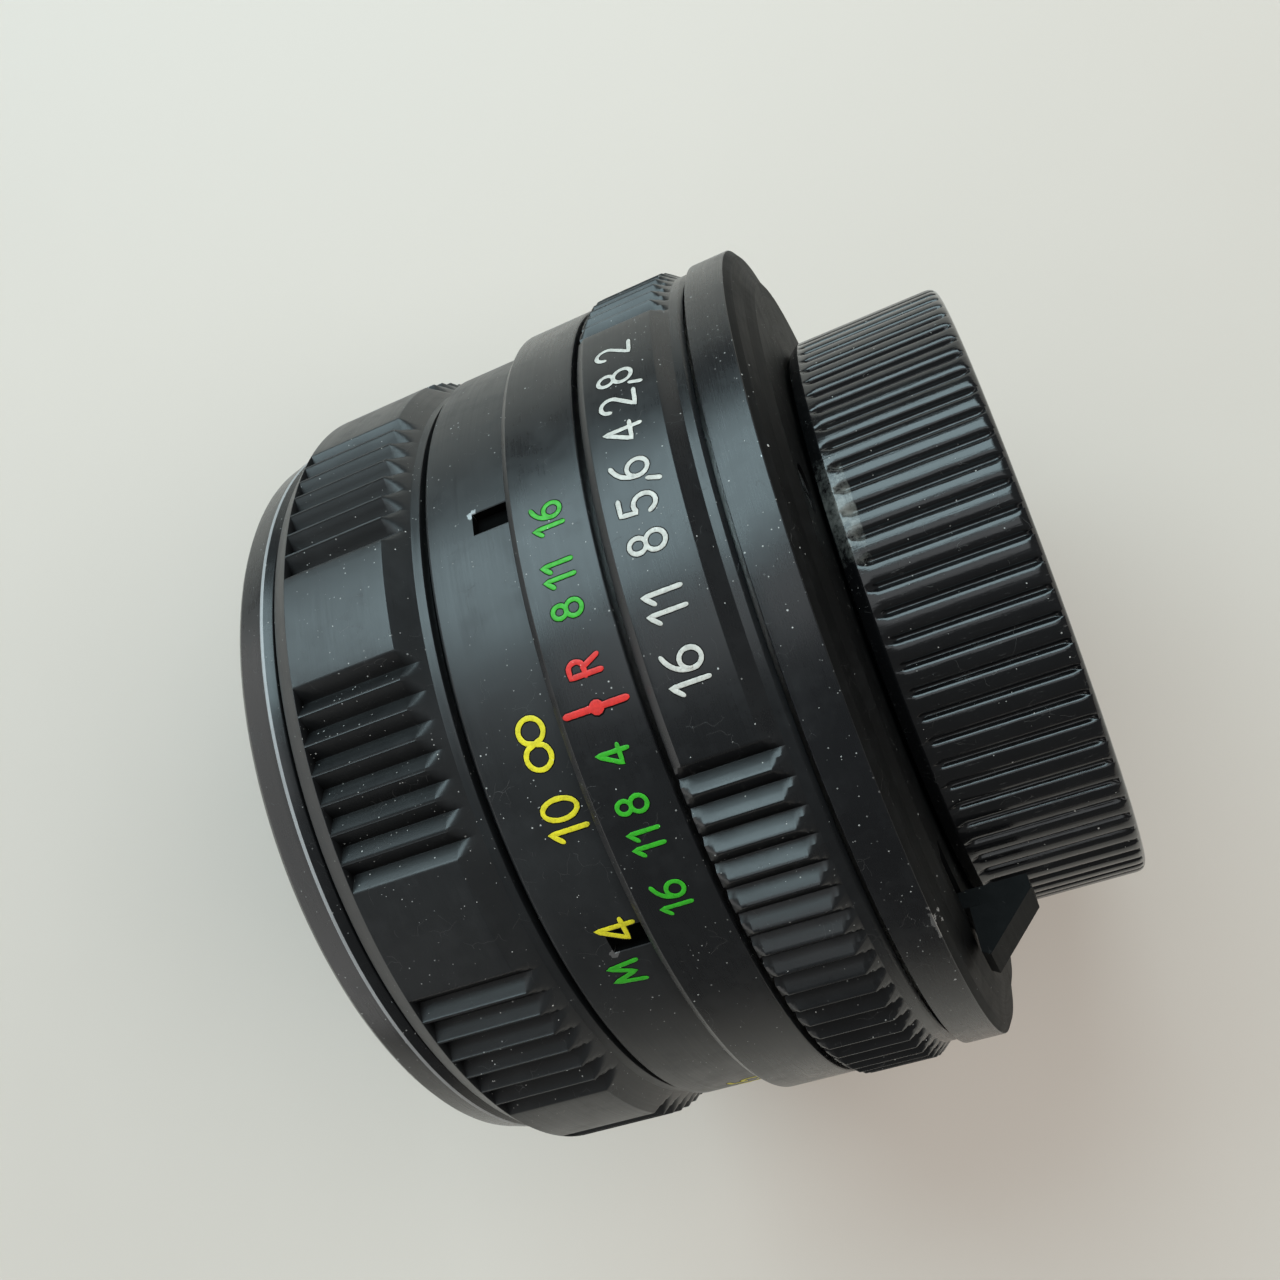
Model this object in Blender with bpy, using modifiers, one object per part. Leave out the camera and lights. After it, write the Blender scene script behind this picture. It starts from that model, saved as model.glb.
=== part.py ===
"""Prime camera lens for an M42 screw mount, lying on its side with its rear cap on.

The optical axis is world X: the front faces -X and the camera side +X. The index line is on top.
Every shape is laid out in a lens frame whose z runs along the optical axis, positive to the front,
with z = 0 on the flange face that seats on the camera body, and whose x points up to the index.
Lengths below are in millimetres.
"""
import math

import bmesh
import bpy
from mathutils import Matrix

MM = 0.001
GAP = 0.3                  # clearance between neighbouring pieces

# radial sizes, from the fixed helicoid tube outwards and inwards
TUBE_RO = 28.3             # fixed helicoid tube, outside
TUBE_WALL = 1.8
SLEEVE_WALL = 1.6          # rotating helicoid sleeve
BARREL_WALL = 1.7          # keyed lens barrel
SCALE_WALL = 1.0           # distance scale skirt
DOF_WALL = 0.7             # depth of field sleeve
APERTURE_WALL = 2.4        # aperture ring
GRIP_WALL = 2.2            # focus grip over the skirt's spigot
SPIGOT_WALL = 0.9
BASE_STEP = 0.0            # base ring above the depth of field sleeve

# axial sizes, from the flange face to the front
PLATE_T = 1.2
BASE_LEN = 3.85
AP_GAP = 0.35
AP_LEN = 7.3
DOF_GAP = 0.4
DOF_LEN = 5.25
SCALE_LEN = 6.05
NECK_LEN = 0.7
GRIP_LEN = 11.0
RIM_GAP = 0.5
RIM_LEN = 3.1
WEB_LEN = 4.6
FILTER_DEPTH = 2.3

# mount and rear cap
THREAD_R = 21.0            # M42x1, drawn plain
BOSS_LEN = 4.9
BOSS_WALL = 3.0
CAP_WALL = 1.2
CAP_LEN = 11.2
CAP_FLOOR = 1.6
CAP_GROOVES = 84
CAP_GROOVE_D = 0.45

# front
FILTER_STEP = 1.7          # filter thread outside the barrel: M52x0.75, drawn plain
RIM_WALL = 2.65
RIM_FLARE = 0.45

# grips
GRIP_BLOCKS = 9
GRIP_PER_BLOCK = 7
GRIP_PITCH = 3.6
GRIP_DEPTH = 0.9
GRIP_AZ0 = 1.5
AP_PITCH = 360.0 / 105.0
AP_RIDGES = 88
AP_DEPTH = 0.85
AP_FIRST = -8.5

# scale notches in the skirt
NOTCH_AZ = 27.0
NOTCH_W = 1.6
NOTCH_L = 2.7

# guide keys of the focusing helicoid
KEY_W = 3.0
KEY_T = 1.2

# aperture
STOP_STEP = 7.1            # degrees a stop
STOPS = 6
BLADES = 8
BLADE_RI = 11.5
BLADE_RO = 16.6
BLADE_PIVOT_R = 17.6
BLADE_SPAN = 140.0
BLADE_T = 0.12
BLADE_PITCH = 0.4
BLADE_Z0 = 11.8
PIN_R = 0.45
EAR_R = 0.85
DRIVE_R = 16.9
DRIVE_PIN_R = 0.3
CAM_CLEAR = 0.15
DRIVE_AZ = -7.3
SMALLEST_R = 1.45
HOUSING_RO = 20.2
HOUSING_RI = 19.5
HOUSING_PLATE = 0.8
CAM_Z0 = 10.5
CAM_T = 0.8
BAR_W = 2.4
BAR_WALL = 1.4
BAR_TOP = 23.0
LINK_Z0 = 4.9
LINK_T = 1.5

# auto lever and stop-down pin
LEVER_AZ = -49.0
LEVER_SWEEP = 20.0
LEVER_W = 2.6
LEVER_OUT = 3.9
LEVER_WALL = 1.3
STOP_PIN_R = 0.8
STOP_PIN_OUT = 6.3
STOP_PIN_TRAVEL = 1.4

# glass
FRONT_R = 15.6
FRONT2_R = 14.2
REAR_R = 10.8
REAR2_R = 12.0
CELL_WALL = 1.3

SEG = 48                   # facets round the visible rings
SEG_IN = 28                # facets round the inner rings
SEG_GLASS = 24

# values that follow
TUBE_RI = TUBE_RO - TUBE_WALL
SLEEVE_RO = TUBE_RI - GAP
SLEEVE_RI = SLEEVE_RO - SLEEVE_WALL
BARREL_RO = SLEEVE_RI - GAP
BARREL_RI = BARREL_RO - BARREL_WALL
BAR_RO = BARREL_RI - 0.5
BAR_RI = BAR_RO - BAR_WALL
FILTER_R = BARREL_RO + FILTER_STEP
BOSS_RI = THREAD_R - BOSS_WALL
PIN_AT_R = THREAD_R - 0.5 * BOSS_WALL
LEVER_RO = TUBE_RI - 0.5
LEVER_RI = LEVER_RO - LEVER_WALL
LEVER_MID = 0.5 * (LEVER_RI + LEVER_RO)
HOUSING_TOP = BLADE_Z0 + BLADE_PITCH * BLADES + HOUSING_PLATE + 0.1
SCALE_RI = TUBE_RO + GAP
SCALE_RO = SCALE_RI + SCALE_WALL
DOF_RI = SCALE_RO + GAP
DOF_RO = DOF_RI + DOF_WALL
BASE_RO = DOF_RO + BASE_STEP
AP_RI = TUBE_RO + GAP
AP_RO = AP_RI + APERTURE_WALL
SPIGOT_RO = TUBE_RO - 0.4
SPIGOT_RI = SPIGOT_RO - SPIGOT_WALL
GRIP_RI = SPIGOT_RO + GAP
GRIP_RO = GRIP_RI + GRIP_WALL
RIM_RO = FILTER_R + RIM_WALL
AP_Z0 = BASE_LEN + AP_GAP
AP_Z1 = AP_Z0 + AP_LEN
DOF_Z0 = AP_Z1 + DOF_GAP
DOF_Z1 = DOF_Z0 + DOF_LEN
SCALE_Z1 = DOF_Z1 + SCALE_LEN
GRIP_Z0 = SCALE_Z1 + NECK_LEN
GRIP_Z1 = GRIP_Z0 + GRIP_LEN
WEB_Z0 = GRIP_Z1 - WEB_LEN
RIM_Z0 = GRIP_Z1 + RIM_GAP
RIM_Z1 = RIM_Z0 + RIM_LEN
FLOOR_Z = RIM_Z1 - FILTER_DEPTH
TUBE_Z0 = PLATE_T + GAP
TUBE_Z1 = SCALE_Z1 - 1.2
SLEEVE_Z0 = TUBE_Z0 + 7.3
KEY_Z1 = TUBE_Z1
CLIP_Z1 = SLEEVE_Z0 - GAP
CAP_RI = THREAD_R + GAP
CAP_RO = CAP_RI + CAP_WALL
CAP_Z1 = -GAP
CAP_Z0 = CAP_Z1 - CAP_LEN
AXIS_H = AP_RO
MID_X = 0.5 * (RIM_Z1 + CAP_Z0)   # the world origin is under the middle of the capped lens
OPEN_SHIFT = BLADE_RI - SMALLEST_R
BLADE_TURN = 2.0 * math.asin(OPEN_SHIFT / (2.0 * BLADE_PIVOT_R))
STOP_TURN = math.radians(STOP_STEP * STOPS)
ARM_AZ = 180.0 + 0.5 * STOP_STEP * STOPS
LINK_RO = BARREL_RI - GAP

TURN = (0.0, -math.pi / 2.0, 0.0)


def clear_scene():
    for ob in list(bpy.data.objects):
        bpy.data.objects.remove(ob, do_unlink=True)


def collection(name):
    coll = bpy.data.collections.new(name)
    bpy.context.scene.collection.children.link(coll)
    return coll


def material(name, color, metallic, roughness, transmission=0.0):
    mat = bpy.data.materials.new(name)
    mat.use_nodes = True
    shader = mat.node_tree.nodes["Principled BSDF"]
    shader.inputs["Base Color"].default_value = (*color, 1.0)
    shader.inputs["Metallic"].default_value = metallic
    shader.inputs["Roughness"].default_value = roughness
    shader.inputs["Transmission Weight"].default_value = transmission
    return mat


clear_scene()
PARTS = collection("prime_lens")
CUTTERS = collection("cutters")
BLACK = material("black_enamel", (0.018, 0.019, 0.02), 0.2, 0.38)
BLACK_RING = material("black_ring", (0.02, 0.021, 0.022), 0.2, 0.34)
PLASTIC = material("cap_plastic", (0.01, 0.01, 0.011), 0.0, 0.22)
ALLOY = material("turned_alloy", (0.62, 0.62, 0.6), 1.0, 0.35)
BRASS = material("brass", (0.6, 0.45, 0.2), 1.0, 0.35)
STEEL = material("steel", (0.55, 0.55, 0.56), 1.0, 0.3)
BLADE_STEEL = material("blade_steel", (0.09, 0.09, 0.1), 0.9, 0.4)
MATT = material("matt_black", (0.012, 0.012, 0.012), 0.0, 0.7)
GLASS = material("coated_glass", (0.85, 0.9, 0.95), 0.0, 0.05, 1.0)


def polar(r, az):
    a = math.radians(az)
    return r * math.cos(a), r * math.sin(a)


def place(ob, offset=(0.0, 0.0)):
    """Put an object built in the lens frame on the lens axis; offset is its (x, y) origin there."""
    ob.rotation_euler = TURN
    ob.location = (MID_X * MM, offset[1] * MM, (AXIS_H + offset[0]) * MM)


def add(name, mesh, mat, offset=(0.0, 0.0)):
    ob = bpy.data.objects.new(name, mesh)
    mesh.materials.append(mat)
    PARTS.objects.link(ob)
    place(ob, offset)
    return ob


def add_cutter(name, mesh, offset=(0.0, 0.0)):
    ob = bpy.data.objects.new(name, mesh)
    CUTTERS.objects.link(ob)
    ob.hide_render = True
    ob.display_type = "WIRE"
    place(ob, offset)
    return ob


def turned_mesh(name, profile, closed=True):
    """A profile in the x-z plane, down its outer side and back up its inner side."""
    mesh = bpy.data.meshes.new(name)
    points = [(r * MM, 0.0, z * MM) for r, z in profile]
    edges = [(i, i + 1) for i in range(len(points) - 1)]
    if closed:
        edges.append((len(points) - 1, 0))
    mesh.from_pydata(points, edges, [])
    return mesh


def screw(ob, steps):
    mod = ob.modifiers.new("turn", "SCREW")
    mod.axis = "Z"
    mod.angle = 2.0 * math.pi
    mod.steps = steps
    mod.render_steps = steps
    mod.use_merge_vertices = True
    mod.merge_threshold = 0.000001
    mod.use_smooth_shade = False


def turned(name, profile, mat, steps=SEG_IN, closed=True):
    ob = add(name, turned_mesh(name, profile, closed), mat)
    screw(ob, steps)
    return ob


def tube(name, r_out, r_in, z0, z1, mat, steps=SEG_IN):
    return turned(name, [(r_out, z1), (r_out, z0), (r_in, z0), (r_in, z1)], mat, steps)


def finish(name, bm):
    mesh = bpy.data.meshes.new(name)
    bm.to_mesh(mesh)
    bm.free()
    return mesh


def spin(az):
    return Matrix.Rotation(math.radians(az), 4, "Z")


def shift(x, y, z):
    return Matrix.Translation((x * MM, y * MM, z * MM))


def add_cylinder(bm, radius, z0, z1, sides, matrix):
    """A prism along z between z0 and z1, then moved by matrix."""
    centre = shift(0.0, 0.0, 0.5 * (z0 + z1))
    bmesh.ops.create_cone(bm, cap_ends=True, segments=sides, radius1=radius * MM,
                          radius2=radius * MM, depth=(z1 - z0) * MM, matrix=matrix @ centre)


def add_box(bm, size, centre, az=0.0):
    scale = Matrix.Diagonal((size[0] * MM, size[1] * MM, size[2] * MM, 1.0))
    bmesh.ops.create_cube(bm, size=1.0, matrix=spin(az) @ shift(*centre) @ scale)


def boolean(ob, cutter, operation="DIFFERENCE"):
    mod = ob.modifiers.new("cut", "BOOLEAN")
    mod.operation = operation
    mod.solver = "EXACT"
    mod.object = cutter


def cutter_prisms(name, radius, sides, z0, z1, places, twist=0.0):
    """One prism along z at each (r, azimuth)."""
    bm = bmesh.new()
    for r, az in places:
        add_cylinder(bm, radius, z0, z1, sides, spin(az) @ shift(r, 0.0, 0.0) @ spin(twist))
    return add_cutter(name, finish(name, bm))


def cutter_boxes(name, boxes):
    bm = bmesh.new()
    for size, centre, az in boxes:
        add_box(bm, size, centre, az)
    return add_cutter(name, finish(name, bm))


def cutter_radial(name, radius, r0, r1, z, azimuths, sides=12):
    """Round holes that run radially between r0 and r1."""
    lie = Matrix.Rotation(math.pi / 2.0, 4, "Y")
    bm = bmesh.new()
    for az in azimuths:
        add_cylinder(bm, radius, r0, r1, sides, spin(az) @ shift(0.0, 0.0, z) @ lie)
    return add_cutter(name, finish(name, bm))


def outline_mesh(name, outline, z0, z1):
    """A flat outline made as a filled curve, extruded between z0 and z1."""
    curve = bpy.data.curves.new(name + "_outline", "CURVE")
    curve.dimensions = "2D"
    curve.fill_mode = "BOTH"
    curve.extrude = 0.5 * (z1 - z0) * MM
    spline = curve.splines.new("POLY")
    spline.points.add(len(outline) - 1)
    for point, (x, y) in zip(spline.points, outline):
        point.co = (x * MM, y * MM, 0.0, 1.0)
    spline.use_cyclic_u = True
    guide = bpy.data.objects.new(name + "_outline", curve)
    CUTTERS.objects.link(guide)
    graph = bpy.context.evaluated_depsgraph_get()
    mesh = bpy.data.meshes.new_from_object(guide.evaluated_get(graph))
    bpy.data.objects.remove(guide, do_unlink=True)
    bm = bmesh.new()
    bm.from_mesh(mesh)
    bmesh.ops.remove_doubles(bm, verts=bm.verts, dist=0.000002)
    bmesh.ops.translate(bm, verts=bm.verts, vec=(0.0, 0.0, 0.5 * (z0 + z1) * MM))
    bmesh.ops.recalc_face_normals(bm, faces=bm.faces)
    bm.to_mesh(mesh)
    bm.free()
    return mesh


def arc(r, az0, az1, count):
    return [polar(r, az0 + (az1 - az0) * i / (count - 1)) for i in range(count)]


def sector(r0, r1, az0, az1, count=9):
    return arc(r1, az0, az1, count) + arc(r0, az1, az0, count)


def v_grooves(name, r_tip, depth, z0, z1, azimuths):
    """Diamond prisms whose inner corner reaches depth below the tip radius."""
    half = depth + 0.04
    places = [(r_tip - depth + half, az) for az in azimuths]
    return cutter_prisms(name, half, 4, z0, z1, places)


# ---- fixed base -------------------------------------------------------------------------------

def mount_flange():
    """Base ring, flange plate and threaded boss, turned in one piece."""
    ring_ri = TUBE_RO + GAP
    face_r = BASE_RO - 3.0
    profile = [(BASE_RO, BASE_LEN), (BASE_RO, 1.15), (BASE_RO - 0.6, 0.75), (BASE_RO - 2.0, 0.45),
               (face_r, 0.0), (THREAD_R, 0.0), (THREAD_R, 0.4 - BOSS_LEN),
               (THREAD_R - 0.4, -BOSS_LEN), (BOSS_RI, -BOSS_LEN), (BOSS_RI, PLATE_T),
               (ring_ri, PLATE_T), (ring_ri, BASE_LEN)]
    ob = turned("mount_flange", profile, BLACK_RING, SEG)
    half = math.degrees(0.5 * LEVER_W / LEVER_MID) + 1.5
    slot = sector(LEVER_RI - GAP, LEVER_RO + GAP, LEVER_AZ - 0.5 * LEVER_SWEEP - half,
                  LEVER_AZ + 0.5 * LEVER_SWEEP + half)
    boolean(ob, add_cutter("lever_slot", outline_mesh("lever_slot", slot, -1.0, PLATE_T + 1.0)))
    boolean(ob, cutter_prisms("flange_screw_holes", FLANGE_SCREW_R + GAP, 16, -1.0, PLATE_T + 1.0,
                              [(FLANGE_SCREW_AT, az) for az in FLANGE_SCREWS]))
    boolean(ob, cutter_prisms("pin_hole", STOP_PIN_R + GAP, 12, -BOSS_LEN - 1.0, PLATE_T + 1.0,
                              [(PIN_AT_R, 180.0)]))
    boolean(ob, cutter_prisms("detent_hole", DETENT_R + 0.2, 10, 1.6, BASE_LEN + 1.0,
                              [(DETENT_AT, 30.0)]))


FLANGE_SCREWS = (20.0, 140.0, 260.0)
FLANGE_SCREW_AT = TUBE_RI - 1.5
FLANGE_SCREW_R = 1.3
DETENT_R = 0.5
DETENT_AT = 0.5 * (AP_RI + BASE_RO)


def flange_screws():
    for index, az in enumerate(FLANGE_SCREWS):
        bm = bmesh.new()
        x, y = polar(FLANGE_SCREW_AT, az)
        add_cylinder(bm, FLANGE_SCREW_R, 0.15, 1.35, 16, shift(x, y, 0.0))
        name = "flange_screw_%d" % (index + 1)
        ob = add(name, finish(name, bm), STEEL)
        slot = cutter_boxes(name + "_slot", [((4.0, 0.4, 1.0), (FLANGE_SCREW_AT, 0.0, 0.0), az)])
        boolean(ob, slot)


def fixed_tube():
    """Outer helicoid tube with a window for the aperture link's arm."""
    ob = tube("fixed_tube", TUBE_RO, TUBE_RI, TUBE_Z0, TUBE_Z1, ALLOY, SEG)
    half = ARM_HALF + 1.5
    window = sector(TUBE_RI - 1.0, TUBE_RO + 1.0, 180.0 - 0.5 * STOP_STEP * STOPS - half,
                    ARM_AZ + half, 11)
    boolean(ob, add_cutter("arm_window", outline_mesh("arm_window", window, LINK_Z0 - 2 * GAP,
                                                      LINK_Z0 + LINK_T + 2 * GAP)))


ARM_HALF = math.degrees(0.5 * 4.0 / TUBE_RO)


def dof_ring():
    """Depth of field sleeve: a chamfered cylinder over the skirt, with a web onto the tube."""
    web = 0.5
    profile = [(DOF_RO - 0.35, DOF_Z1), (DOF_RO, DOF_Z1 - 0.45), (DOF_RO, DOF_Z0 + 0.15),
               (DOF_RO - 0.15, DOF_Z0), (TUBE_RO + GAP, DOF_Z0), (TUBE_RO + GAP, DOF_Z0 + web),
               (DOF_RI, DOF_Z0 + web), (DOF_RI, DOF_Z1)]
    turned("dof_ring", profile, BLACK_RING, SEG)


def guide_keys():
    """Two keys that stop the lens barrel from turning."""
    for index, az in enumerate((90.0, -90.0)):
        name = "guide_key_%d" % (index + 1)
        bm = bmesh.new()
        mid = 0.5 * (TUBE_Z0 + KEY_Z1)
        add_box(bm, (KEY_T, KEY_W, KEY_Z1 - TUBE_Z0), (KEY_MID, 0.0, mid), az)
        ob = add(name, finish(name, bm), STEEL)
        mod = ob.modifiers.new("ease", "BEVEL")
        mod.width = 0.2 * MM
        mod.segments = 1


KEY_MID = 0.5 * (BARREL_RI + BARREL_RO) + 0.05


def detent_ball():
    bm = bmesh.new()
    x, y = polar(DETENT_AT, 30.0)
    bmesh.ops.create_uvsphere(bm, u_segments=8, v_segments=5, radius=DETENT_R * MM,
                              matrix=shift(x, y, BASE_LEN - DETENT_R))
    add("detent_ball", finish("detent_ball", bm), STEEL)


def pin_seat():
    """Bracket that the stop-down pin's spring pushes against."""
    bm = bmesh.new()
    add_box(bm, (3.6, 6.0, 0.4), (PIN_AT_R, 0.0, 4.2), 180.0)
    ob = add("pin_seat", finish("pin_seat", bm), BRASS)
    boolean(ob, cutter_prisms("pin_seat_hole", STOP_PIN_R + GAP, 12, 3.0, 6.0,
                              [(PIN_AT_R, 180.0)]))


def rear_baffle():
    tube("rear_baffle", BOSS_RI - GAP, REAR2_R + 1.2 + GAP, -3.9, -3.4, MATT)


# ---- keyed lens barrel and optics -------------------------------------------------------------

def key_cuts(name, z0, z1):
    r0 = BARREL_RI - 0.6
    r1 = BARREL_RO + GAP
    size = (r1 - r0, KEY_W + 2 * GAP, z1 - z0)
    boxes = [(size, (0.5 * (r0 + r1), 0.0, 0.5 * (z0 + z1)), az) for az in (90.0, -90.0)]
    return cutter_boxes(name, boxes)


def lens_barrel():
    ob = tube("lens_barrel", BARREL_RO, BARREL_RI, SLEEVE_Z0, FLOOR_Z, ALLOY)
    boolean(ob, key_cuts("barrel_keyways", SLEEVE_Z0 - 1.0, KEY_Z1 + 2 * GAP))


def bearing_clip():
    """Ring at the back of the barrel that keeps the focusing sleeve on it."""
    ob = tube("bearing_clip", SLEEVE_RO - 0.5, BARREL_RI, CLIP_Z1 - 0.9, CLIP_Z1, BRASS)
    boolean(ob, key_cuts("clip_keyways", CLIP_Z1 - 2.0, CLIP_Z1 + 1.0))


def filter_ring():
    floor = 0.8
    profile = [(RIM_RO - 0.3, RIM_Z1), (RIM_RO, RIM_Z1 - 0.35), (RIM_RO + RIM_FLARE, RIM_Z0 + 0.75),
               (RIM_RO + 0.1, RIM_Z0), (BARREL_RO + GAP, RIM_Z0), (BARREL_RO + GAP, RIM_Z0 + floor),
               (FILTER_R, RIM_Z0 + floor), (FILTER_R, RIM_Z1)]
    turned("filter_ring", profile, BLACK, SEG)


def name_ring():
    """Blank conical ring that retains the front glass."""
    r_out = BARREL_RI - GAP
    lip = FRONT_R - 0.6
    base = CELL_Z1 + 0.35
    profile = [(r_out, FLOOR_Z - 0.2), (r_out, base), (lip, base), (lip, base + 0.55),
               (r_out - 0.8, FLOOR_Z - 0.2)]
    turned("name_ring", profile, MATT)


CELL_Z1 = FLOOR_Z - 4.6
STEP1_Z = CELL_Z1 - 3.3
CELL_SEAT = CELL_Z1 - 3.7
CELL_FLANGE_Z = CELL_Z1 - 5.0
CELL_FLANGE_RO = BARREL_RI - GAP


def front_cell():
    r_out = FRONT_R + GAP + CELL_WALL
    seat_r = FRONT2_R + GAP
    bottom = HOUSING_TOP + 0.4
    profile = [(r_out, CELL_Z1), (r_out, CELL_FLANGE_Z + 1.8), (CELL_FLANGE_RO, CELL_FLANGE_Z + 1.8),
               (CELL_FLANGE_RO, CELL_FLANGE_Z), (r_out, CELL_FLANGE_Z), (r_out, bottom),
               (seat_r, bottom), (seat_r, STEP1_Z), (FRONT_R + GAP, STEP1_Z),
               (FRONT_R + GAP, CELL_Z1)]
    turned("front_cell", profile, MATT)


def rear_cell():
    bore = REAR_R + GAP
    bore2 = REAR2_R + GAP
    r_out = bore2 + 0.9
    profile = [(HOUSING_RO - 0.2, 10.2), (HOUSING_RO - 0.2, 9.2), (r_out, 9.2), (r_out, -6.8),
               (REAR2_R - 0.6, -6.8), (REAR2_R - 0.6, -4.8), (bore2, -4.8), (bore2, -1.7),
               (bore, -1.7), (bore, 10.2)]
    turned("rear_cell", profile, MATT)


def rear_retainer():
    tube("rear_retainer", REAR_R, REAR_R - 1.1, 10.0, 10.4, MATT, SEG_GLASS)


def sag(radius, r):
    """Distance that a spherical surface falls back at height r; negative when it bends forward."""
    drop = abs(radius) - math.sqrt(radius * radius - r * r)
    return math.copysign(drop, radius)


def surface(vertex, radius, r_max, count):
    """Points of a spherical surface from the axis to r_max; a positive radius bends to the rear."""
    return [(r_max * i / count, vertex - sag(radius, r_max * i / count)) for i in range(count + 1)]


def glass(name, edge_r, front, rear, rear_r=None, front_r=None):
    """A lens element: front and rear are (vertex z, radius)."""
    face = surface(front[0], front[1], front_r or edge_r, 3)
    back = surface(rear[0], rear[1], rear_r or edge_r, 3)
    profile = face
    if front_r:
        profile = profile + [(edge_r, face[-1][1])]
    if rear_r:
        profile = profile + [(edge_r, back[-1][1])]
    profile = profile + back[::-1]
    turned(name, profile, GLASS, SEG_GLASS, closed=False)


def optics():
    cement = 0.3
    glass("front_singlet", FRONT_R, (CELL_Z1 + 2.4, 36.0), (CELL_Z1 - 2.2, 190.0))
    glass("front_doublet_crown", FRONT2_R, (CELL_Z1 - 2.6, 21.5), (CELL_Z1 - 9.7, 56.0))
    glass("front_doublet_flint", FRONT2_R, (CELL_Z1 - 9.7 - cement, 56.0),
          (HOUSING_TOP + 4.3, 16.0), rear_r=10.2)
    glass("rear_doublet_flint", REAR_R, (6.6, -15.0), (5.5, 52.0), front_r=9.4)
    glass("rear_doublet_crown", REAR_R, (5.5 - cement, 52.0), (-1.6, -22.0))
    glass("rear_singlet", REAR2_R, (-1.9, 110.0), (-6.0, -44.0))


# ---- iris -------------------------------------------------------------------------------------

def iris_housing():
    """Cup behind the front cell: its plate takes the blade pivots, its wall stands round them."""
    plate = HOUSING_TOP - HOUSING_PLATE
    profile = [(HOUSING_RO, HOUSING_TOP), (HOUSING_RO, CAM_Z0), (HOUSING_RI, CAM_Z0),
               (HOUSING_RI, plate), (BLADE_RI + GAP, plate), (BLADE_RI + GAP, HOUSING_TOP)]
    ob = turned("iris_housing", profile, MATT)
    boolean(ob, cutter_prisms("pivot_holes", PIN_R + GAP, 8, plate - 1.0, HOUSING_TOP + 1.0,
                              [(BLADE_PIVOT_R, blade_az(k)) for k in range(BLADES)]))
    half = EAR_HALF + 3.0
    window = sector(HOUSING_RI - 1.0, HOUSING_RO + 1.0,
                    180.0 - 0.5 * STOP_STEP * STOPS - half, ARM_AZ + half, 9)
    boolean(ob, add_cutter("fork_window", outline_mesh("fork_window", window, CAM_Z0 - 1.0,
                                                       CAM_Z0 + CAM_T + GAP)))


EAR_HALF = math.degrees(3.0 / 20.0)


def blade_az(k):
    return 360.0 * k / BLADES


def blade_outline():
    """Blade with the iris wide open, about its own pivot at the origin."""
    inner = arc(BLADE_RI, BLADE_SPAN, -2.0, 16)
    drive = polar(DRIVE_R, DRIVE_AZ)
    near = [(drive[0] - EAR_R * math.cos(math.radians(a)), drive[1] - EAR_R * math.sin(math.radians(a)))
            for a in (20.0, 60.0, 100.0, 150.0)]
    pivot = [(BLADE_PIVOT_R + EAR_R * math.cos(math.radians(a)), EAR_R * math.sin(math.radians(a)))
             for a in (-25.0, 10.0, 45.0, 80.0)]
    outer = arc(BLADE_RO, 5.5, BLADE_SPAN, 14)
    return [(x - BLADE_PIVOT_R, y) for x, y in inner + near + pivot + outer]


def rotate(points, angle):
    c, s = math.cos(angle), math.sin(angle)
    return [(c * x - s * y, s * x + c * y) for x, y in points]


def drive_at(open_turn):
    """Drive pin about the pivot when the blade is open_turn short of fully open."""
    x, y = polar(DRIVE_R, DRIVE_AZ)
    return rotate([(x - BLADE_PIVOT_R, y)], open_turn)[0]


def iris_blades():
    """Blades at the smallest stop, each on its own level with a pivot pin and a drive pin."""
    for k in range(BLADES):
        name = "iris_blade_%d" % (k + 1)
        az = math.radians(blade_az(k))
        z = BLADE_Z0 + BLADE_PITCH * k
        outline = rotate(rotate(blade_outline(), BLADE_TURN), az)
        pivot = polar(BLADE_PIVOT_R, blade_az(k))
        ob = add(name, outline_mesh(name, outline, z, z + BLADE_T), BLADE_STEEL, pivot)
        dx, dy = rotate([drive_at(BLADE_TURN)], az)[0]
        bm = bmesh.new()
        add_cylinder(bm, PIN_R, z + 0.05, HOUSING_TOP - 0.3, 8, shift(0.0, 0.0, 0.0))
        add_cylinder(bm, DRIVE_PIN_R, CAM_Z0 + 0.2, z + 0.07, 8, shift(dx, dy, 0.0))
        boolean(ob, add_cutter(name + "_pins", finish(name + "_pins", bm), pivot), "UNION")


def slot_outline(k):
    """Path of a drive pin seen from the cam ring, widened to a slot."""
    count = 5
    path = []
    for i in range(count):
        share = i / (count - 1)
        dx, dy = drive_at(BLADE_TURN * (1.0 - share))
        centre = rotate([(BLADE_PIVOT_R + dx, dy)], math.radians(blade_az(k)) + STOP_TURN * share)
        path.append(centre[0])
    wide = DRIVE_PIN_R + CAM_CLEAR
    ends = []
    for a, b in ((path[1], path[0]), (path[-2], path[-1])):
        length = math.hypot(b[0] - a[0], b[1] - a[1])
        ends.append((b[0] + (b[0] - a[0]) / length * wide, b[1] + (b[1] - a[1]) / length * wide))
    path = [ends[0]] + path[0:] + [ends[1]]
    left, right = [], []
    for i, (x, y) in enumerate(path):
        ax, ay = path[max(i - 1, 0)]
        bx, by = path[min(i + 1, len(path) - 1)]
        length = math.hypot(bx - ax, by - ay)
        nx, ny = -(by - ay) / length * wide, (bx - ax) / length * wide
        left.append((x + nx, y + ny))
        right.append((x - nx, y - ny))
    return left + right[::-1]


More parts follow.
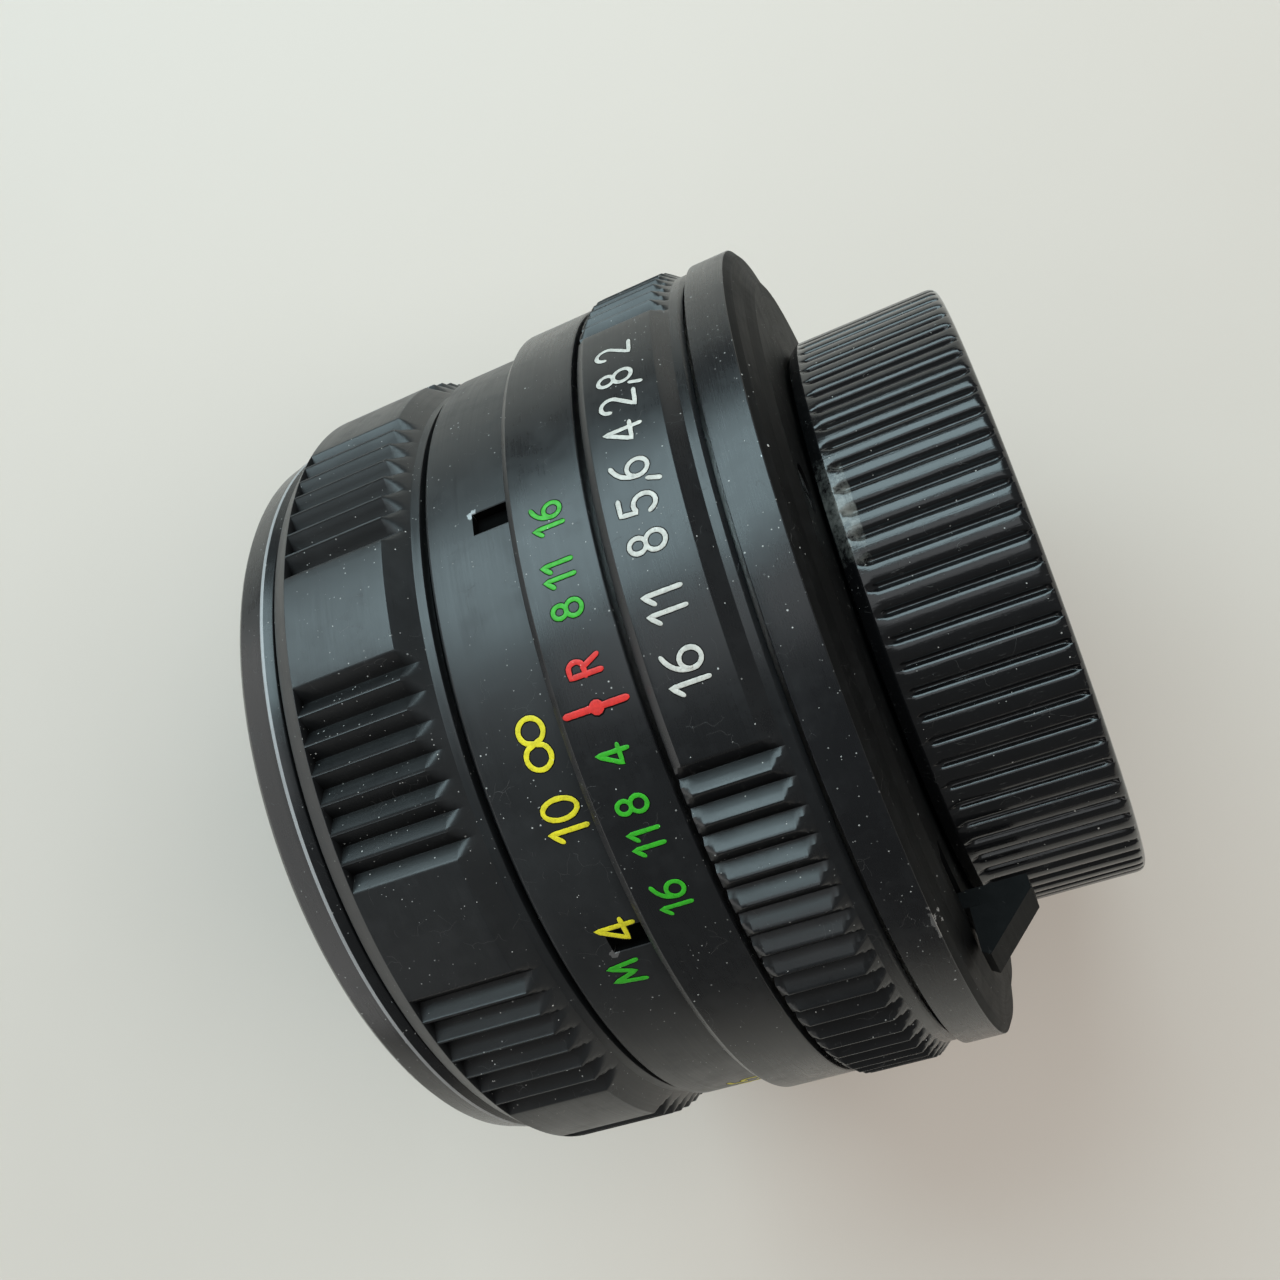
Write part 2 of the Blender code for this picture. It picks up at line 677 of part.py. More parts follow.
def iris_cam_ring():
    """Ring that drives the blades, with a fork for the link's bar."""
    ob = tube("iris_cam_ring", HOUSING_RI - GAP, BLADE_RI + GAP, CAM_Z0, CAM_Z0 + CAM_T, BRASS)
    bm = bmesh.new()
    r0 = HOUSING_RI - 1.0
    r1 = BAR_RO + 0.1
    add_box(bm, (r1 - r0, 6.0, CAM_T), (0.5 * (r0 + r1), 0.0, CAM_Z0 + 0.5 * CAM_T), ARM_AZ)
    boolean(ob, add_cutter("cam_ear", finish("cam_ear", bm)), "UNION")
    fork = ((4.0, BAR_W + 2 * GAP, CAM_T + 2.0), (BAR_RI - GAP + 2.0, 0.0, CAM_Z0 + 0.5 * CAM_T), ARM_AZ)
    boolean(ob, cutter_boxes("cam_fork", [fork]))
    for k in range(BLADES):
        name = "cam_slot_%d" % (k + 1)
        mesh = outline_mesh(name, slot_outline(k), CAM_Z0 - 1.0, CAM_Z0 + CAM_T + 1.0)
        boolean(ob, add_cutter(name, mesh))


# ---- focusing ring ----------------------------------------------------------------------------

def grip_azimuths():
    half = 0.5 * (GRIP_PER_BLOCK - 1)
    return [GRIP_AZ0 + 360.0 * b / GRIP_BLOCKS + GRIP_PITCH * (i - half)
            for b in range(GRIP_BLOCKS) for i in range(GRIP_PER_BLOCK)]


def focus_grip():
    shoulder = GRIP_RO - 1.3
    inner = BARREL_RO + 2 * GAP
    profile = [(GRIP_RO - 1.0, GRIP_Z1), (GRIP_RO, GRIP_Z1 - 1.5), (GRIP_RO, GRIP_Z0 + 2.1),
               (shoulder, GRIP_Z0 + 0.65), (shoulder, GRIP_Z0), (GRIP_RI, GRIP_Z0),
               (GRIP_RI, WEB_Z0), (inner, WEB_Z0), (inner, GRIP_Z1)]
    ob = turned("focus_grip", profile, BLACK, SEG)
    boolean(ob, v_grooves("grip_grooves", GRIP_RO, GRIP_DEPTH, GRIP_Z0 + 0.3, GRIP_Z1 - 1.5,
                          grip_azimuths()))


def scale_barrel():
    """Skirt with the distance scale, and a spigot inside the grip."""
    step = TUBE_Z1 + 0.5
    z0 = DOF_Z0 + 0.5 + GAP
    profile = [(SPIGOT_RO, WEB_Z0 - GAP), (SPIGOT_RO, GRIP_Z0 - GAP), (SCALE_RI - 0.1, GRIP_Z0 - GAP),
               (SCALE_RI - 0.1, SCALE_Z1), (SCALE_RO - 0.2, SCALE_Z1), (SCALE_RO, SCALE_Z1 - 0.2),
               (SCALE_RO, z0), (SCALE_RI, z0), (SCALE_RI, step), (SPIGOT_RI, step),
               (SPIGOT_RI, WEB_Z0 - GAP)]
    ob = turned("scale_barrel", profile, BLACK, SEG)
    mid = 0.5 * (DOF_Z1 - 0.6 + DOF_Z1 + NOTCH_L)
    size = (1.4, NOTCH_W, NOTCH_L + 0.6)
    boxes = [(size, (SCALE_RO + 0.1, 0.0, mid), az) for az in (NOTCH_AZ, -NOTCH_AZ)]
    boolean(ob, cutter_boxes("scale_notches", boxes))


def focus_sleeve():
    tube("focus_sleeve", SLEEVE_RO, SLEEVE_RI, SLEEVE_Z0, WEB_Z0 - GAP, ALLOY)


# ---- aperture ring ----------------------------------------------------------------------------

def ap_azimuths():
    return [AP_FIRST - AP_PITCH * (i + 0.5) for i in range(AP_RIDGES)]


def aperture_ring():
    profile = [(AP_RO - 0.45, AP_Z1), (AP_RO, AP_Z1 - 0.6), (AP_RO, AP_Z0 + 1.9),
               (AP_RO - 0.8, AP_Z0 + 0.9), (AP_RO - 0.8, AP_Z0 + 0.3), (AP_RO - 1.0, AP_Z0),
               (AP_RI, AP_Z0), (AP_RI, AP_Z1)]
    ob = turned("aperture_ring", profile, BLACK_RING, SEG)
    boolean(ob, v_grooves("aperture_grooves", AP_RO, AP_DEPTH, AP_Z0 + 0.95, AP_Z1 + 1.0, ap_azimuths()))
    boolean(ob, cutter_radial("link_hole", LINK_SCREW_R + GAP, AP_RI - 1.0, AP_RO + 1.0,
                              LINK_MID, [ARM_AZ]))


LINK_MID = LINK_Z0 + 0.5 * LINK_T
LINK_SCREW_R = 0.6


def aperture_link():
    """Inner ring, its arm out to the aperture ring, and the bar that drives the iris."""
    ob = tube("aperture_link", LINK_RO, PIN_AT_R + 1.0, LINK_Z0, LINK_Z0 + LINK_T, BRASS)
    bm = bmesh.new()
    r0 = LINK_RO - 0.8
    r1 = TUBE_RO
    add_box(bm, (r1 - r0, 4.0, LINK_T - 0.02), (0.5 * (r0 + r1), 0.0, LINK_MID), ARM_AZ)
    boolean(ob, add_cutter("link_arm", finish("link_arm", bm)), "UNION")
    bm = bmesh.new()
    mid = 0.5 * (LINK_MID + BAR_TOP)
    add_box(bm, (BAR_RO - BAR_RI, BAR_W, BAR_TOP - LINK_MID), (0.5 * (BAR_RI + BAR_RO), 0.0, mid), ARM_AZ)
    boolean(ob, add_cutter("link_bar", finish("link_bar", bm)), "UNION")


def link_screw():
    lie = Matrix.Rotation(math.pi / 2.0, 4, "Y")
    bm = bmesh.new()
    add_cylinder(bm, LINK_SCREW_R, TUBE_RO + GAP, AP_RO - AP_DEPTH - 0.15, 10,
                 spin(ARM_AZ) @ shift(0.0, 0.0, LINK_MID) @ lie)
    add("link_screw", finish("link_screw", bm), STEEL)


# ---- lever, pin and cap -----------------------------------------------------------------------

def am_lever():
    """Sector inside the flange, neck through its slot and a wedge-shaped tab behind it."""
    half = math.degrees(0.5 * LEVER_W / LEVER_MID)
    plate = sector(LEVER_RI, LEVER_RO, LEVER_AZ - 16.0, LEVER_AZ + 16.0)
    ob = add("am_lever", outline_mesh("am_lever", plate, TUBE_Z0, TUBE_Z0 + 0.8), BLACK)
    neck = sector(LEVER_RI + 0.05, LEVER_RO - 0.05, LEVER_AZ - half, LEVER_AZ + half, 3)
    boolean(ob, add_cutter("lever_neck", outline_mesh("lever_neck", neck, -1.0, TUBE_Z0 + 0.4)), "UNION")
    wedge = [(LEVER_RI, -GAP), (LEVER_RI, -GAP - LEVER_OUT), (LEVER_RI + 1.0, -GAP - LEVER_OUT),
             (BASE_RO - 1.3, -GAP - 0.5), (BASE_RO - 1.6, -GAP)]
    mesh = outline_mesh("lever_tab", wedge, -0.5 * LEVER_W, 0.5 * LEVER_W)
    mesh.transform(spin(LEVER_AZ) @ Matrix.Rotation(math.pi / 2.0, 4, "X"))
    boolean(ob, add_cutter("lever_tab", mesh), "UNION")


def stop_down_pin():
    """Sprung pin through the boss, with a collar under its spring."""
    end = PIN_TOP
    profile = [(0.0, end), (STOP_PIN_R, end), (STOP_PIN_R, COLLAR_Z + 0.5), (COLLAR_R, COLLAR_Z + 0.5),
               (COLLAR_R, COLLAR_Z), (STOP_PIN_R, COLLAR_Z), (STOP_PIN_R, 0.3 - STOP_PIN_OUT),
               (STOP_PIN_R - 0.3, -STOP_PIN_OUT), (0.0, -STOP_PIN_OUT)]
    centre = polar(PIN_AT_R, 180.0)
    ob = add("stop_down_pin", turned_mesh("stop_down_pin", profile, closed=False), STEEL, centre)
    screw(ob, 12)


PIN_TOP = 3.2
COLLAR_Z = PLATE_T + GAP
COLLAR_R = 1.35


def pin_spring():
    """Coil between the pin's collar and its seat."""
    z0 = COLLAR_Z + 0.5 + GAP + SPRING_WIRE
    z1 = 4.0 - GAP - SPRING_WIRE
    turns, each = 3, 8
    count = turns * each + 1
    curve = bpy.data.curves.new("pin_spring", "CURVE")
    curve.dimensions = "3D"
    curve.bevel_depth = SPRING_WIRE * MM
    curve.bevel_resolution = 1
    curve.use_fill_caps = True
    spline = curve.splines.new("POLY")
    spline.points.add(count - 1)
    for i, point in enumerate(spline.points):
        x, y = polar(1.0 + STOP_PIN_R * 0.5, 360.0 * i / each)
        point.co = (x * MM, y * MM, (z0 + (z1 - z0) * i / (count - 1)) * MM, 1.0)
    ob = bpy.data.objects.new("pin_spring", curve)
    curve.materials.append(STEEL)
    PARTS.objects.link(ob)
    place(ob, polar(PIN_AT_R, 180.0))


SPRING_WIRE = 0.13


def rear_cap():
    """Moulded screw-on cap with grooves down its side, closed at the back."""
    collar = 0.8
    ease = 0.8
    profile = [(0.0, CAP_Z0 + CAP_FLOOR), (CAP_RI, CAP_Z0 + CAP_FLOOR), (CAP_RI, CAP_Z1),
               (CAP_RO - 0.6, CAP_Z1), (CAP_RO, CAP_Z1 - collar), (CAP_RO, CAP_Z0 + ease),
               (CAP_RO - 0.25 * ease, CAP_Z0 + 0.3 * ease), (CAP_RO - ease, CAP_Z0), (0.0, CAP_Z0)]
    ob = turned("rear_cap", profile, PLASTIC, SEG, closed=False)
    azimuths = [360.0 * i / CAP_GROOVES for i in range(CAP_GROOVES)]
    boolean(ob, v_grooves("cap_grooves", CAP_RO, CAP_GROOVE_D, CAP_Z0 + 0.5 * ease,
                          CAP_Z1 - collar - 0.5, azimuths))


mount_flange()
flange_screws()
fixed_tube()
dof_ring()
guide_keys()
detent_ball()
pin_seat()
rear_baffle()
lens_barrel()
bearing_clip()
filter_ring()
name_ring()
front_cell()
rear_cell()
rear_retainer()
optics()
iris_housing()
iris_blades()
iris_cam_ring()
focus_grip()
scale_barrel()
focus_sleeve()
aperture_ring()
aperture_link()
link_screw()
am_lever()
stop_down_pin()
pin_spring()
rear_cap()
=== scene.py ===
"""Looks for a prime camera lens that lies on its side with its rear cap on.

Shapes are laid out in the lens frame: z in millimetres along the optical axis, positive to the front,
with 0 on the flange face, and az in degrees round the axis from the index line on top. The optical
axis is world X and the front faces -X.
"""
import math
import random

import bmesh
import bpy
from mathutils import Matrix, Vector


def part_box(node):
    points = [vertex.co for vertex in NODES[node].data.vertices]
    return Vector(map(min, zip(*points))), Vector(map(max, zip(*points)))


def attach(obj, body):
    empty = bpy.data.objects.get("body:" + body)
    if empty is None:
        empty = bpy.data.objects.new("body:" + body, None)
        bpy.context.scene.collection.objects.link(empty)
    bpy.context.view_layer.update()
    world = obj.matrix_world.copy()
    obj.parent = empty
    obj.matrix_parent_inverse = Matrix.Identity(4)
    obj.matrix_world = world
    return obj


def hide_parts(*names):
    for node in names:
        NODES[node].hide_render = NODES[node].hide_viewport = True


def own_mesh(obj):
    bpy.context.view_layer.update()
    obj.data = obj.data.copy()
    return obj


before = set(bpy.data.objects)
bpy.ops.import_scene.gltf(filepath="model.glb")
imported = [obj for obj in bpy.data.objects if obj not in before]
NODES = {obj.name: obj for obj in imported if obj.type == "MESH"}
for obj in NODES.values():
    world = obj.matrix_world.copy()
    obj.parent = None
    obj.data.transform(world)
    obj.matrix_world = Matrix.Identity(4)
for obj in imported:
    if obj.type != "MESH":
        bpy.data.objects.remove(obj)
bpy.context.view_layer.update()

MM = 0.001
BASE_LEN = 3.85            # base ring, from the flange face to its front
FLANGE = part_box("mount_flange")
FLANGE_X = FLANGE[0].x + BASE_LEN * MM
AXIS_Z = 0.5 * (FLANGE[0].z + FLANGE[1].z)


def span(node):
    """Rear z, front z and outer radius of a node of revolution, in millimetres."""
    low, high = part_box(node)
    return (FLANGE_X - high.x) / MM, (FLANGE_X - low.x) / MM, 0.5 * (high.z - low.z) / MM


def lens_point(z, r, az):
    a = math.radians(az)
    return (FLANGE_X - z * MM, r * MM * math.sin(a), AXIS_Z + r * MM * math.cos(a))


RIM_Z0, RIM_Z1, _ = span("filter_ring")
GRIP_Z0, GRIP_Z1, GRIP_RO = span("focus_grip")
SKIRT_Z0, _, SKIRT_RO = span("scale_barrel")
DOF_Z0, DOF_Z1, DOF_RO = span("dof_ring")
AP_Z0, AP_Z1, AP_RO = span("aperture_ring")
CAP_Z0, CAP_Z1, CAP_RO = span("rear_cap")
_, TUBE_Z1, TUBE_RO = span("fixed_tube")
BARREL_RO = span("lens_barrel")[2]
BASE_RO = DOF_RO
SKIRT_Z1 = GRIP_Z0 - 0.7
GAP = 0.3
FILTER_R = 26.0
THREAD_R = 21.0
BOSS_RI = 18.0
BOSS_Z = -4.9
PLATE_T = 1.2
NOTCH_AZ = 27.0
PIN_BELOW_AXIS = 19.5

# ---- mesh code ----------------------------------------------------------------------------------


def fillet(corners, count=3):
    """Corners (r, z, radius) of a closed profile as points (r, z, edge), edge 1 on a rounding."""
    out = []
    total = len(corners)
    for i, (r, z, radius) in enumerate(corners):
        here = Vector((r, z))
        if radius <= 0.0:
            out.append((r, z, 0.0))
            continue
        a = Vector(corners[i - 1][:2]) - here
        b = Vector(corners[(i + 1) % total][:2]) - here
        reach = radius / math.tan(0.5 * a.angle(b))
        reach = min(reach, 0.45 * a.length, 0.45 * b.length)
        p0, p1 = here + a.normalized() * reach, here + b.normalized() * reach
        for k in range(count + 1):
            s = k / count
            q = p0 * (1 - s) ** 2 + here * 2 * s * (1 - s) + p1 * s ** 2
            out.append((q.x, q.y, 1.0))
    return out


def densify(points, step, closed=True):
    """Adds points so that no span of the profile is longer than step."""
    out = []
    total = len(points)
    for i, p in enumerate(points):
        out.append(p)
        if i == total - 1 and not closed:
            break
        q = points[(i + 1) % total]
        length = math.hypot(q[0] - p[0], q[1] - p[1])
        count = int(math.ceil(length / step)) if step else 1
        for k in range(1, count):
            s = k / count
            out.append((p[0] + (q[0] - p[0]) * s, p[1] + (q[1] - p[1]) * s, 0.0))
    return out


def even(count):
    return [(360.0 * i / count, 1e9, 0.0) for i in range(count)]


def grooved(r_tip, centres, shape, fill=1.2):
    """Azimuth samples (az, radius, edge) for grooves of one cross-section, with plain arcs between.
    shape lists (offset, depth, edge) from the middle of a groove outwards, in millimetres."""
    samples = []
    for az in centres:
        for offset, depth, edge in shape:
            for side in (-1, 1) if offset else (1,):
                turn = math.degrees(side * offset / r_tip)
                samples.append(((az + turn) % 360.0, r_tip - depth, edge))
    samples.sort()
    merged = [samples[0]]
    for s in samples[1:]:
        if s[0] - merged[-1][0] < 0.04:
            if s[1] > merged[-1][1]:
                merged[-1] = s
        else:
            merged.append(s)
    out = []
    for i, s in enumerate(merged):
        out.append(s)
        nxt = merged[(i + 1) % len(merged)][0] + (360.0 if i == len(merged) - 1 else 0.0)
        count = int((nxt - s[0]) / fill)
        for k in range(1, count):
            out.append((s[0] + (nxt - s[0]) * k / count, 1e9, 0.0))
    return sorted((az % 360.0, r, e) for az, r, e in out)


def finish_mesh(name, bm, material):
    bmesh.ops.remove_doubles(bm, verts=bm.verts, dist=0.0000006)
    bmesh.ops.dissolve_degenerate(bm, edges=bm.edges, dist=0.0000004)
    bmesh.ops.recalc_face_normals(bm, faces=bm.faces)
    for face in bm.faces:
        face.smooth = True
    mesh = bpy.data.meshes.new(name)
    bm.to_mesh(mesh)
    bm.free()
    mesh.materials.append(material)
    ob = bpy.data.objects.new(name, mesh)
    bpy.context.scene.collection.objects.link(ob)
    return ob


def mark_sharp(bm, degrees=32.0):
    limit = math.radians(degrees)
    for edge in bm.edges:
        if len(edge.link_faces) == 2:
            edge.smooth = edge.calc_face_angle(0.0) < limit


def turned(name, rows, samples, material, cut=None, closed=True, worn=None, sharp=32.0):
    """A body of revolution. rows are (r, z, edge), samples are (az, radius, edge) for grooves, and
    cut(z) says how far the grooves go in at z. worn(z, r, az) adds to the wear attribute."""
    bm = bmesh.new()
    wear_and_sheen = bm.verts.layers.float.new("wear_and_sheen")
    groove_shade_depth = bm.verts.layers.float.new("groove_shade_depth")
    grid = []
    for r, z, edge in rows:
        share = cut(z) if cut else 0.0
        if r < 1e-6:
            vert = bm.verts.new(lens_point(z, 0.0, 0.0))
            grid.append([vert] * len(samples))
            continue
        line = []
        for az, groove, crest in samples:
            drop = max(0.0, r - groove) * share
            vert = bm.verts.new(lens_point(z, r - drop, az))
            vert[wear_and_sheen] = max(edge, crest * share) + (worn(z, r, az) if worn else 0.0)
            # the groove depth is kept per vertex; black_metal paints shade into the groove bottoms
            # from it
            vert[groove_shade_depth] = drop
            line.append(vert)
        grid.append(line)
    count = len(grid)
    for i in range(count if closed else count - 1):
        a, b = grid[i], grid[(i + 1) % count]
        for j in range(len(samples)):
            k = (j + 1) % len(samples)
            corners = []
            for vert in (a[j], a[k], b[k], b[j]):
                if vert not in corners:
                    corners.append(vert)
            if len(corners) > 2:
                bm.faces.new(corners)
    bmesh.ops.remove_doubles(bm, verts=bm.verts, dist=0.0000006)
    bmesh.ops.recalc_face_normals(bm, faces=bm.faces)
    mark_sharp(bm, sharp)
    return finish_mesh(name, bm, material)


def window(z0, z1):
    return lambda z: 1.0 if z0 <= z <= z1 else 0.0


def with_rows(points, levels):
    """Adds a pair of rows each side of each level, so that a groove ends in a steep wall."""
    out = []
    total = len(points)
    for i, p in enumerate(points):
        out.append(p)
        q = points[(i + 1) % total]
        low, high = sorted((p[1], q[1]))
        inner = [z for level in levels for z in (level - 0.012, level + 0.012) if low < z < high]
        for z in sorted(inner, reverse=p[1] > q[1]):
            s = (z - p[1]) / (q[1] - p[1])
            out.append((p[0] + (q[0] - p[0]) * s, z, 0.0))
    return out


# ---- materials ----------------------------------------------------------------------------------


class Shader:
    """A material's node tree, with short calls for the nodes that these looks need."""

    def __init__(self, name, **values):
        self.material = bpy.data.materials.new(name)
        self.material.use_nodes = True
        self.tree = self.material.node_tree
        self.shader = self.tree.nodes["Principled BSDF"]
        for key, value in values.items():
            self.shader.inputs[key.replace("_", " ")].default_value = value

    def node(self, kind, inputs=(), **props):
        made = self.tree.nodes.new("ShaderNode" + kind)
        for key, value in props.items():
            setattr(made, key, value)
        for key, value in dict(inputs).items():
            socket = made.inputs[key]
            if isinstance(value, bpy.types.NodeSocket):
                self.tree.links.new(value, socket)
            else:
                socket.default_value = value
        return made

    def math(self, operation, a, b=0.0, clamp=False):
        return self.node("Math", {0: a, 1: b}, operation=operation, use_clamp=clamp).outputs[0]

    def mix(self, share, a, b):
        """Colours a to b by share."""
        made = self.node("Mix", data_type="RGBA")
        for key, value in ((0, share), (6, a), (7, b)):
            if isinstance(value, bpy.types.NodeSocket):
                self.tree.links.new(value, made.inputs[key])
            else:
                made.inputs[key].default_value = value
        return made.outputs[2]

    def ramp(self, value, low, high, to_low=0.0, to_high=1.0):
        made = self.node("MapRange", {0: value, 1: low, 2: high, 3: to_low, 4: to_high})
        return made.outputs[0]

    def place(self):
        """Object coordinates in millimetres."""
        where = self.node("TexCoord").outputs["Object"]
        return self.node("VectorMath", {0: where, 3: 1000.0}, operation="SCALE").outputs[0]

    def round_axis(self):
        """(along the axis, round it, out from it) in millimetres."""
        where = self.node("SeparateXYZ", {0: self.place()})
        up = self.math("SUBTRACT", where.outputs[2], AXIS_Z / MM)
        turn = self.math("ARCTAN2", where.outputs[1], up)
        square = self.math("ADD", self.math("MULTIPLY", up, up),
                           self.math("MULTIPLY", where.outputs[1], where.outputs[1]))
        radius = self.math("SQRT", square)
        out = self.node("CombineXYZ", {0: where.outputs[0], 1: self.math("MULTIPLY", turn, 30.0),
                                       2: radius})
        return out.outputs[0]

    def stretch(self, vector, scale):
        return self.node("VectorMath", {0: vector, 1: scale}, operation="MULTIPLY").outputs[0]

    def noise(self, vector, scale, detail=3.0, rough=0.5):
        return self.node("TexNoise", {"Vector": vector, "Scale": scale, "Detail": detail,
                                      "Roughness": rough}).outputs[0]

    def specks(self, vector, scale, size, share):
        """A mask of small round spots, kept in that share of the cells."""
        cells = self.node("TexVoronoi", {"Vector": vector, "Scale": scale})
        pick = self.node("SeparateColor", {0: cells.outputs["Color"]})
        kept = self.math("LESS_THAN", pick.outputs[0], share)
        spot_size = self.math("MULTIPLY", pick.outputs[1], size)
        spot = self.math("LESS_THAN", cells.outputs["Distance"], spot_size)
        return self.math("MULTIPLY", kept, spot)

    def scratches(self, vector, scale, width, share):
        """A mask of thin crooked lines in patches."""
        bent = self.node("TexNoise", {"Vector": vector, "Scale": scale * 0.7}).outputs[1]
        moved = self.node("VectorMath", {0: bent, 3: 1.6 / scale}, operation="SCALE").outputs[0]
        where = self.node("VectorMath", {0: vector, 1: moved}, operation="ADD").outputs[0]
        cells = self.node("TexVoronoi", {"Vector": where, "Scale": scale},
                          feature="DISTANCE_TO_EDGE")
        line = self.math("LESS_THAN", cells.outputs[0], width)
        patch = self.noise(vector, scale * 0.9, 2.0)
        return self.math("MULTIPLY", line, self.math("GREATER_THAN", patch, 1.0 - share))

    def bump(self, height, strength, distance, normal=None):
        inputs = {"Height": height, "Strength": strength, "Distance": distance * MM}
        if normal is not None:
            inputs["Normal"] = normal
        return self.node("Bump", inputs).outputs[0]

    def attribute(self, name):
        return self.node("Attribute", attribute_name=name).outputs["Fac"]

    def set(self, **links):
        for key, value in links.items():
            self.tree.links.new(value, self.shader.inputs[key.replace("_", " ")])
        return self.material


def rgba(r, g, b):
    return (r, g, b, 1.0)


def black_metal(name, base=(0.0042, 0.0045, 0.0052), rough=0.30, turning=0.20, worn=0.69,
                metal=(0.34, 0.34, 0.34), dust=1.0, turn_scale=9.0, gloss=0.55):
    """Black satin enamel on turned alloy: fine turning marks, dust, hair scratches and worn edges, and
    painted shade that darkens the colour towards the bottom of cut grooves.
    """
    s = Shader(name, Specular_IOR_Level=gloss)
    where, cyl = s.place(), s.round_axis()
    patch = s.noise(where, 0.16, 4.0, 0.6)
    fine = s.noise(where, 9.0, 2.0)
    lines = s.noise(s.stretch(cyl, (turn_scale, 0.10, turn_scale)), 1.0, 3.0, 0.65)
    smudge = s.ramp(s.noise(where, 0.45, 5.0, 0.65), 0.48, 0.66)
    groove_shade_depth = s.ramp(s.attribute("groove_shade_depth"), 0.0, 0.7)
    colour = s.mix(patch, rgba(*base), rgba(*[c * 1.9 for c in base]))
    colour = s.mix(s.math("MULTIPLY", smudge, 0.10), colour, rgba(0.03, 0.032, 0.034))
    # painted shade: the colour goes near-black towards the bottom of each cut groove
    colour = s.mix(groove_shade_depth, colour, rgba(0.0015, 0.0015, 0.0016))
    edge = s.math("MULTIPLY", s.attribute("wear_and_sheen"), s.noise(where, 1.9, 5.0, 0.7))
    chip = s.ramp(edge, worn, worn + 0.05)
    hair = s.scratches(where, 0.55, 0.0022, 0.40)
    colour = s.mix(s.math("MULTIPLY", hair, 0.28), colour, rgba(0.16, 0.16, 0.16))
    colour = s.mix(chip, colour, rgba(*metal))
    spots = s.math("MAXIMUM", s.specks(where, 1.1, 0.09, 0.16 * dust),
                   s.specks(where, 1.9, 0.085, 0.35 * dust))
    crowd = s.ramp(s.noise(where, 0.22, 2.0), 0.46, 0.62)
    spots = s.math("MAXIMUM", spots, s.math("MULTIPLY", crowd,
                                            s.specks(where, 2.6, 0.15, 0.70 * dust)))
    colour = s.mix(s.math("MULTIPLY", spots, 0.85), colour, rgba(0.45, 0.46, 0.45))
    rough_map = s.math("ADD", s.ramp(patch, 0.3, 0.7, rough - 0.03, rough + 0.04),
                       s.math("MULTIPLY", s.math("SUBTRACT", lines, 0.5), 0.16))
    rough_map = s.math("ADD", rough_map, s.math("MULTIPLY", smudge, 0.06))
    rough_map = s.math("ADD", rough_map, s.math("MULTIPLY", spots, 0.4), clamp=True)
    rough_map = s.math("ADD", rough_map, s.math("MULTIPLY", groove_shade_depth, 0.08), clamp=True)
    normal = s.bump(lines, turning, 0.012)
    normal = s.bump(fine, 0.10, 0.010, normal)
    normal = s.bump(s.math("MAXIMUM", spots, s.math("MULTIPLY", hair, 0.4)), 0.5, 0.02, normal)
    return s.set(Base_Color=colour, Roughness=rough_map, Metallic=s.math("MULTIPLY", chip, 0.9),
                 Normal=normal)


def moulded_plastic(name):
    """Glossy black moulded cap: slight flow waves, scuffed rib tops, dust lying in the grooves, and a
    pale patch on the front shoulder that is partly a smear and partly a painted highlight from the
    window side.
    """
    s = Shader(name, Specular_IOR_Level=0.6)
    where, cyl = s.place(), s.round_axis()
    wave = s.noise(where, 0.35, 3.0, 0.55)
    grain = s.noise(where, 5.0, 3.0)
    along = s.noise(s.stretch(cyl, (0.5, 5.0, 2.0)), 1.0, 4.0, 0.6)
    scuff = s.ramp(s.noise(s.stretch(cyl, (0.8, 3.2, 3.2)), 1.0, 6.0, 0.75), 0.60, 0.72)
    hair = s.scratches(where, 0.6, 0.003, 0.38)
    smear_and_sheen = s.ramp(s.math("MULTIPLY", s.attribute("wear_and_sheen"), s.noise(where, 1.5, 6.0, 0.75)), 0.34, 0.60)
    spots = s.math("MAXIMUM", s.specks(where, 1.2, 0.08, 0.2), s.specks(where, 2.4, 0.11, 0.4))
    colour = s.mix(wave, rgba(0.0035, 0.0037, 0.0042), rgba(0.0075, 0.0078, 0.0085))
    colour = s.mix(s.math("MULTIPLY", scuff, 0.40), colour, rgba(0.10, 0.10, 0.098))
    # partly smear, partly painted highlight: pale grey on the shoulder side that faces the window
    # light
    colour = s.mix(s.math("MULTIPLY", smear_and_sheen, 0.45), colour, rgba(0.32, 0.34, 0.32))
    colour = s.mix(s.math("MULTIPLY", hair, 0.2), colour, rgba(0.25, 0.25, 0.24))
    colour = s.mix(s.math("MULTIPLY", spots, 0.8), colour, rgba(0.45, 0.45, 0.43))
    rough_map = s.ramp(wave, 0.3, 0.7, 0.12, 0.20)
    rough_map = s.math("ADD", rough_map, s.math("MULTIPLY", scuff, 0.16))
    rough_map = s.math("ADD", rough_map, s.math("MULTIPLY", spots, 0.4), clamp=True)
    normal = s.bump(along, 0.20, 0.05)
    normal = s.bump(grain, 0.10, 0.02, normal)
    normal = s.bump(s.math("MAXIMUM", spots, hair), 0.4, 0.02, normal)
    return s.set(Base_Color=colour, Roughness=rough_map, Normal=normal)


def engraving_paint(name, colour, dark):
    """Paint wiped into engraved strokes: uneven film, dirt along it, a dull skin."""
    s = Shader(name, Specular_IOR_Level=0.45)
    where = s.place()
    film = s.noise(where, 2.4, 4.0, 0.65)
    dirt = s.ramp(s.noise(where, 5.5, 4.0, 0.7), 0.52, 0.74)
    tint = s.mix(s.ramp(film, 0.35, 0.65), rgba(*colour), rgba(*[c * 0.78 for c in colour]))
    tint = s.mix(s.math("MULTIPLY", dirt, 0.55), tint, rgba(*dark))
    spots = s.specks(where, 2.6, 0.12, 0.35)
    tint = s.mix(s.math("MULTIPLY", spots, 0.5), tint, rgba(0.8, 0.8, 0.76))
    normal = s.bump(film, 0.5, 0.03)
    return s.set(Base_Color=tint, Roughness=s.ramp(film, 0.3, 0.7, 0.38, 0.58), Normal=normal)


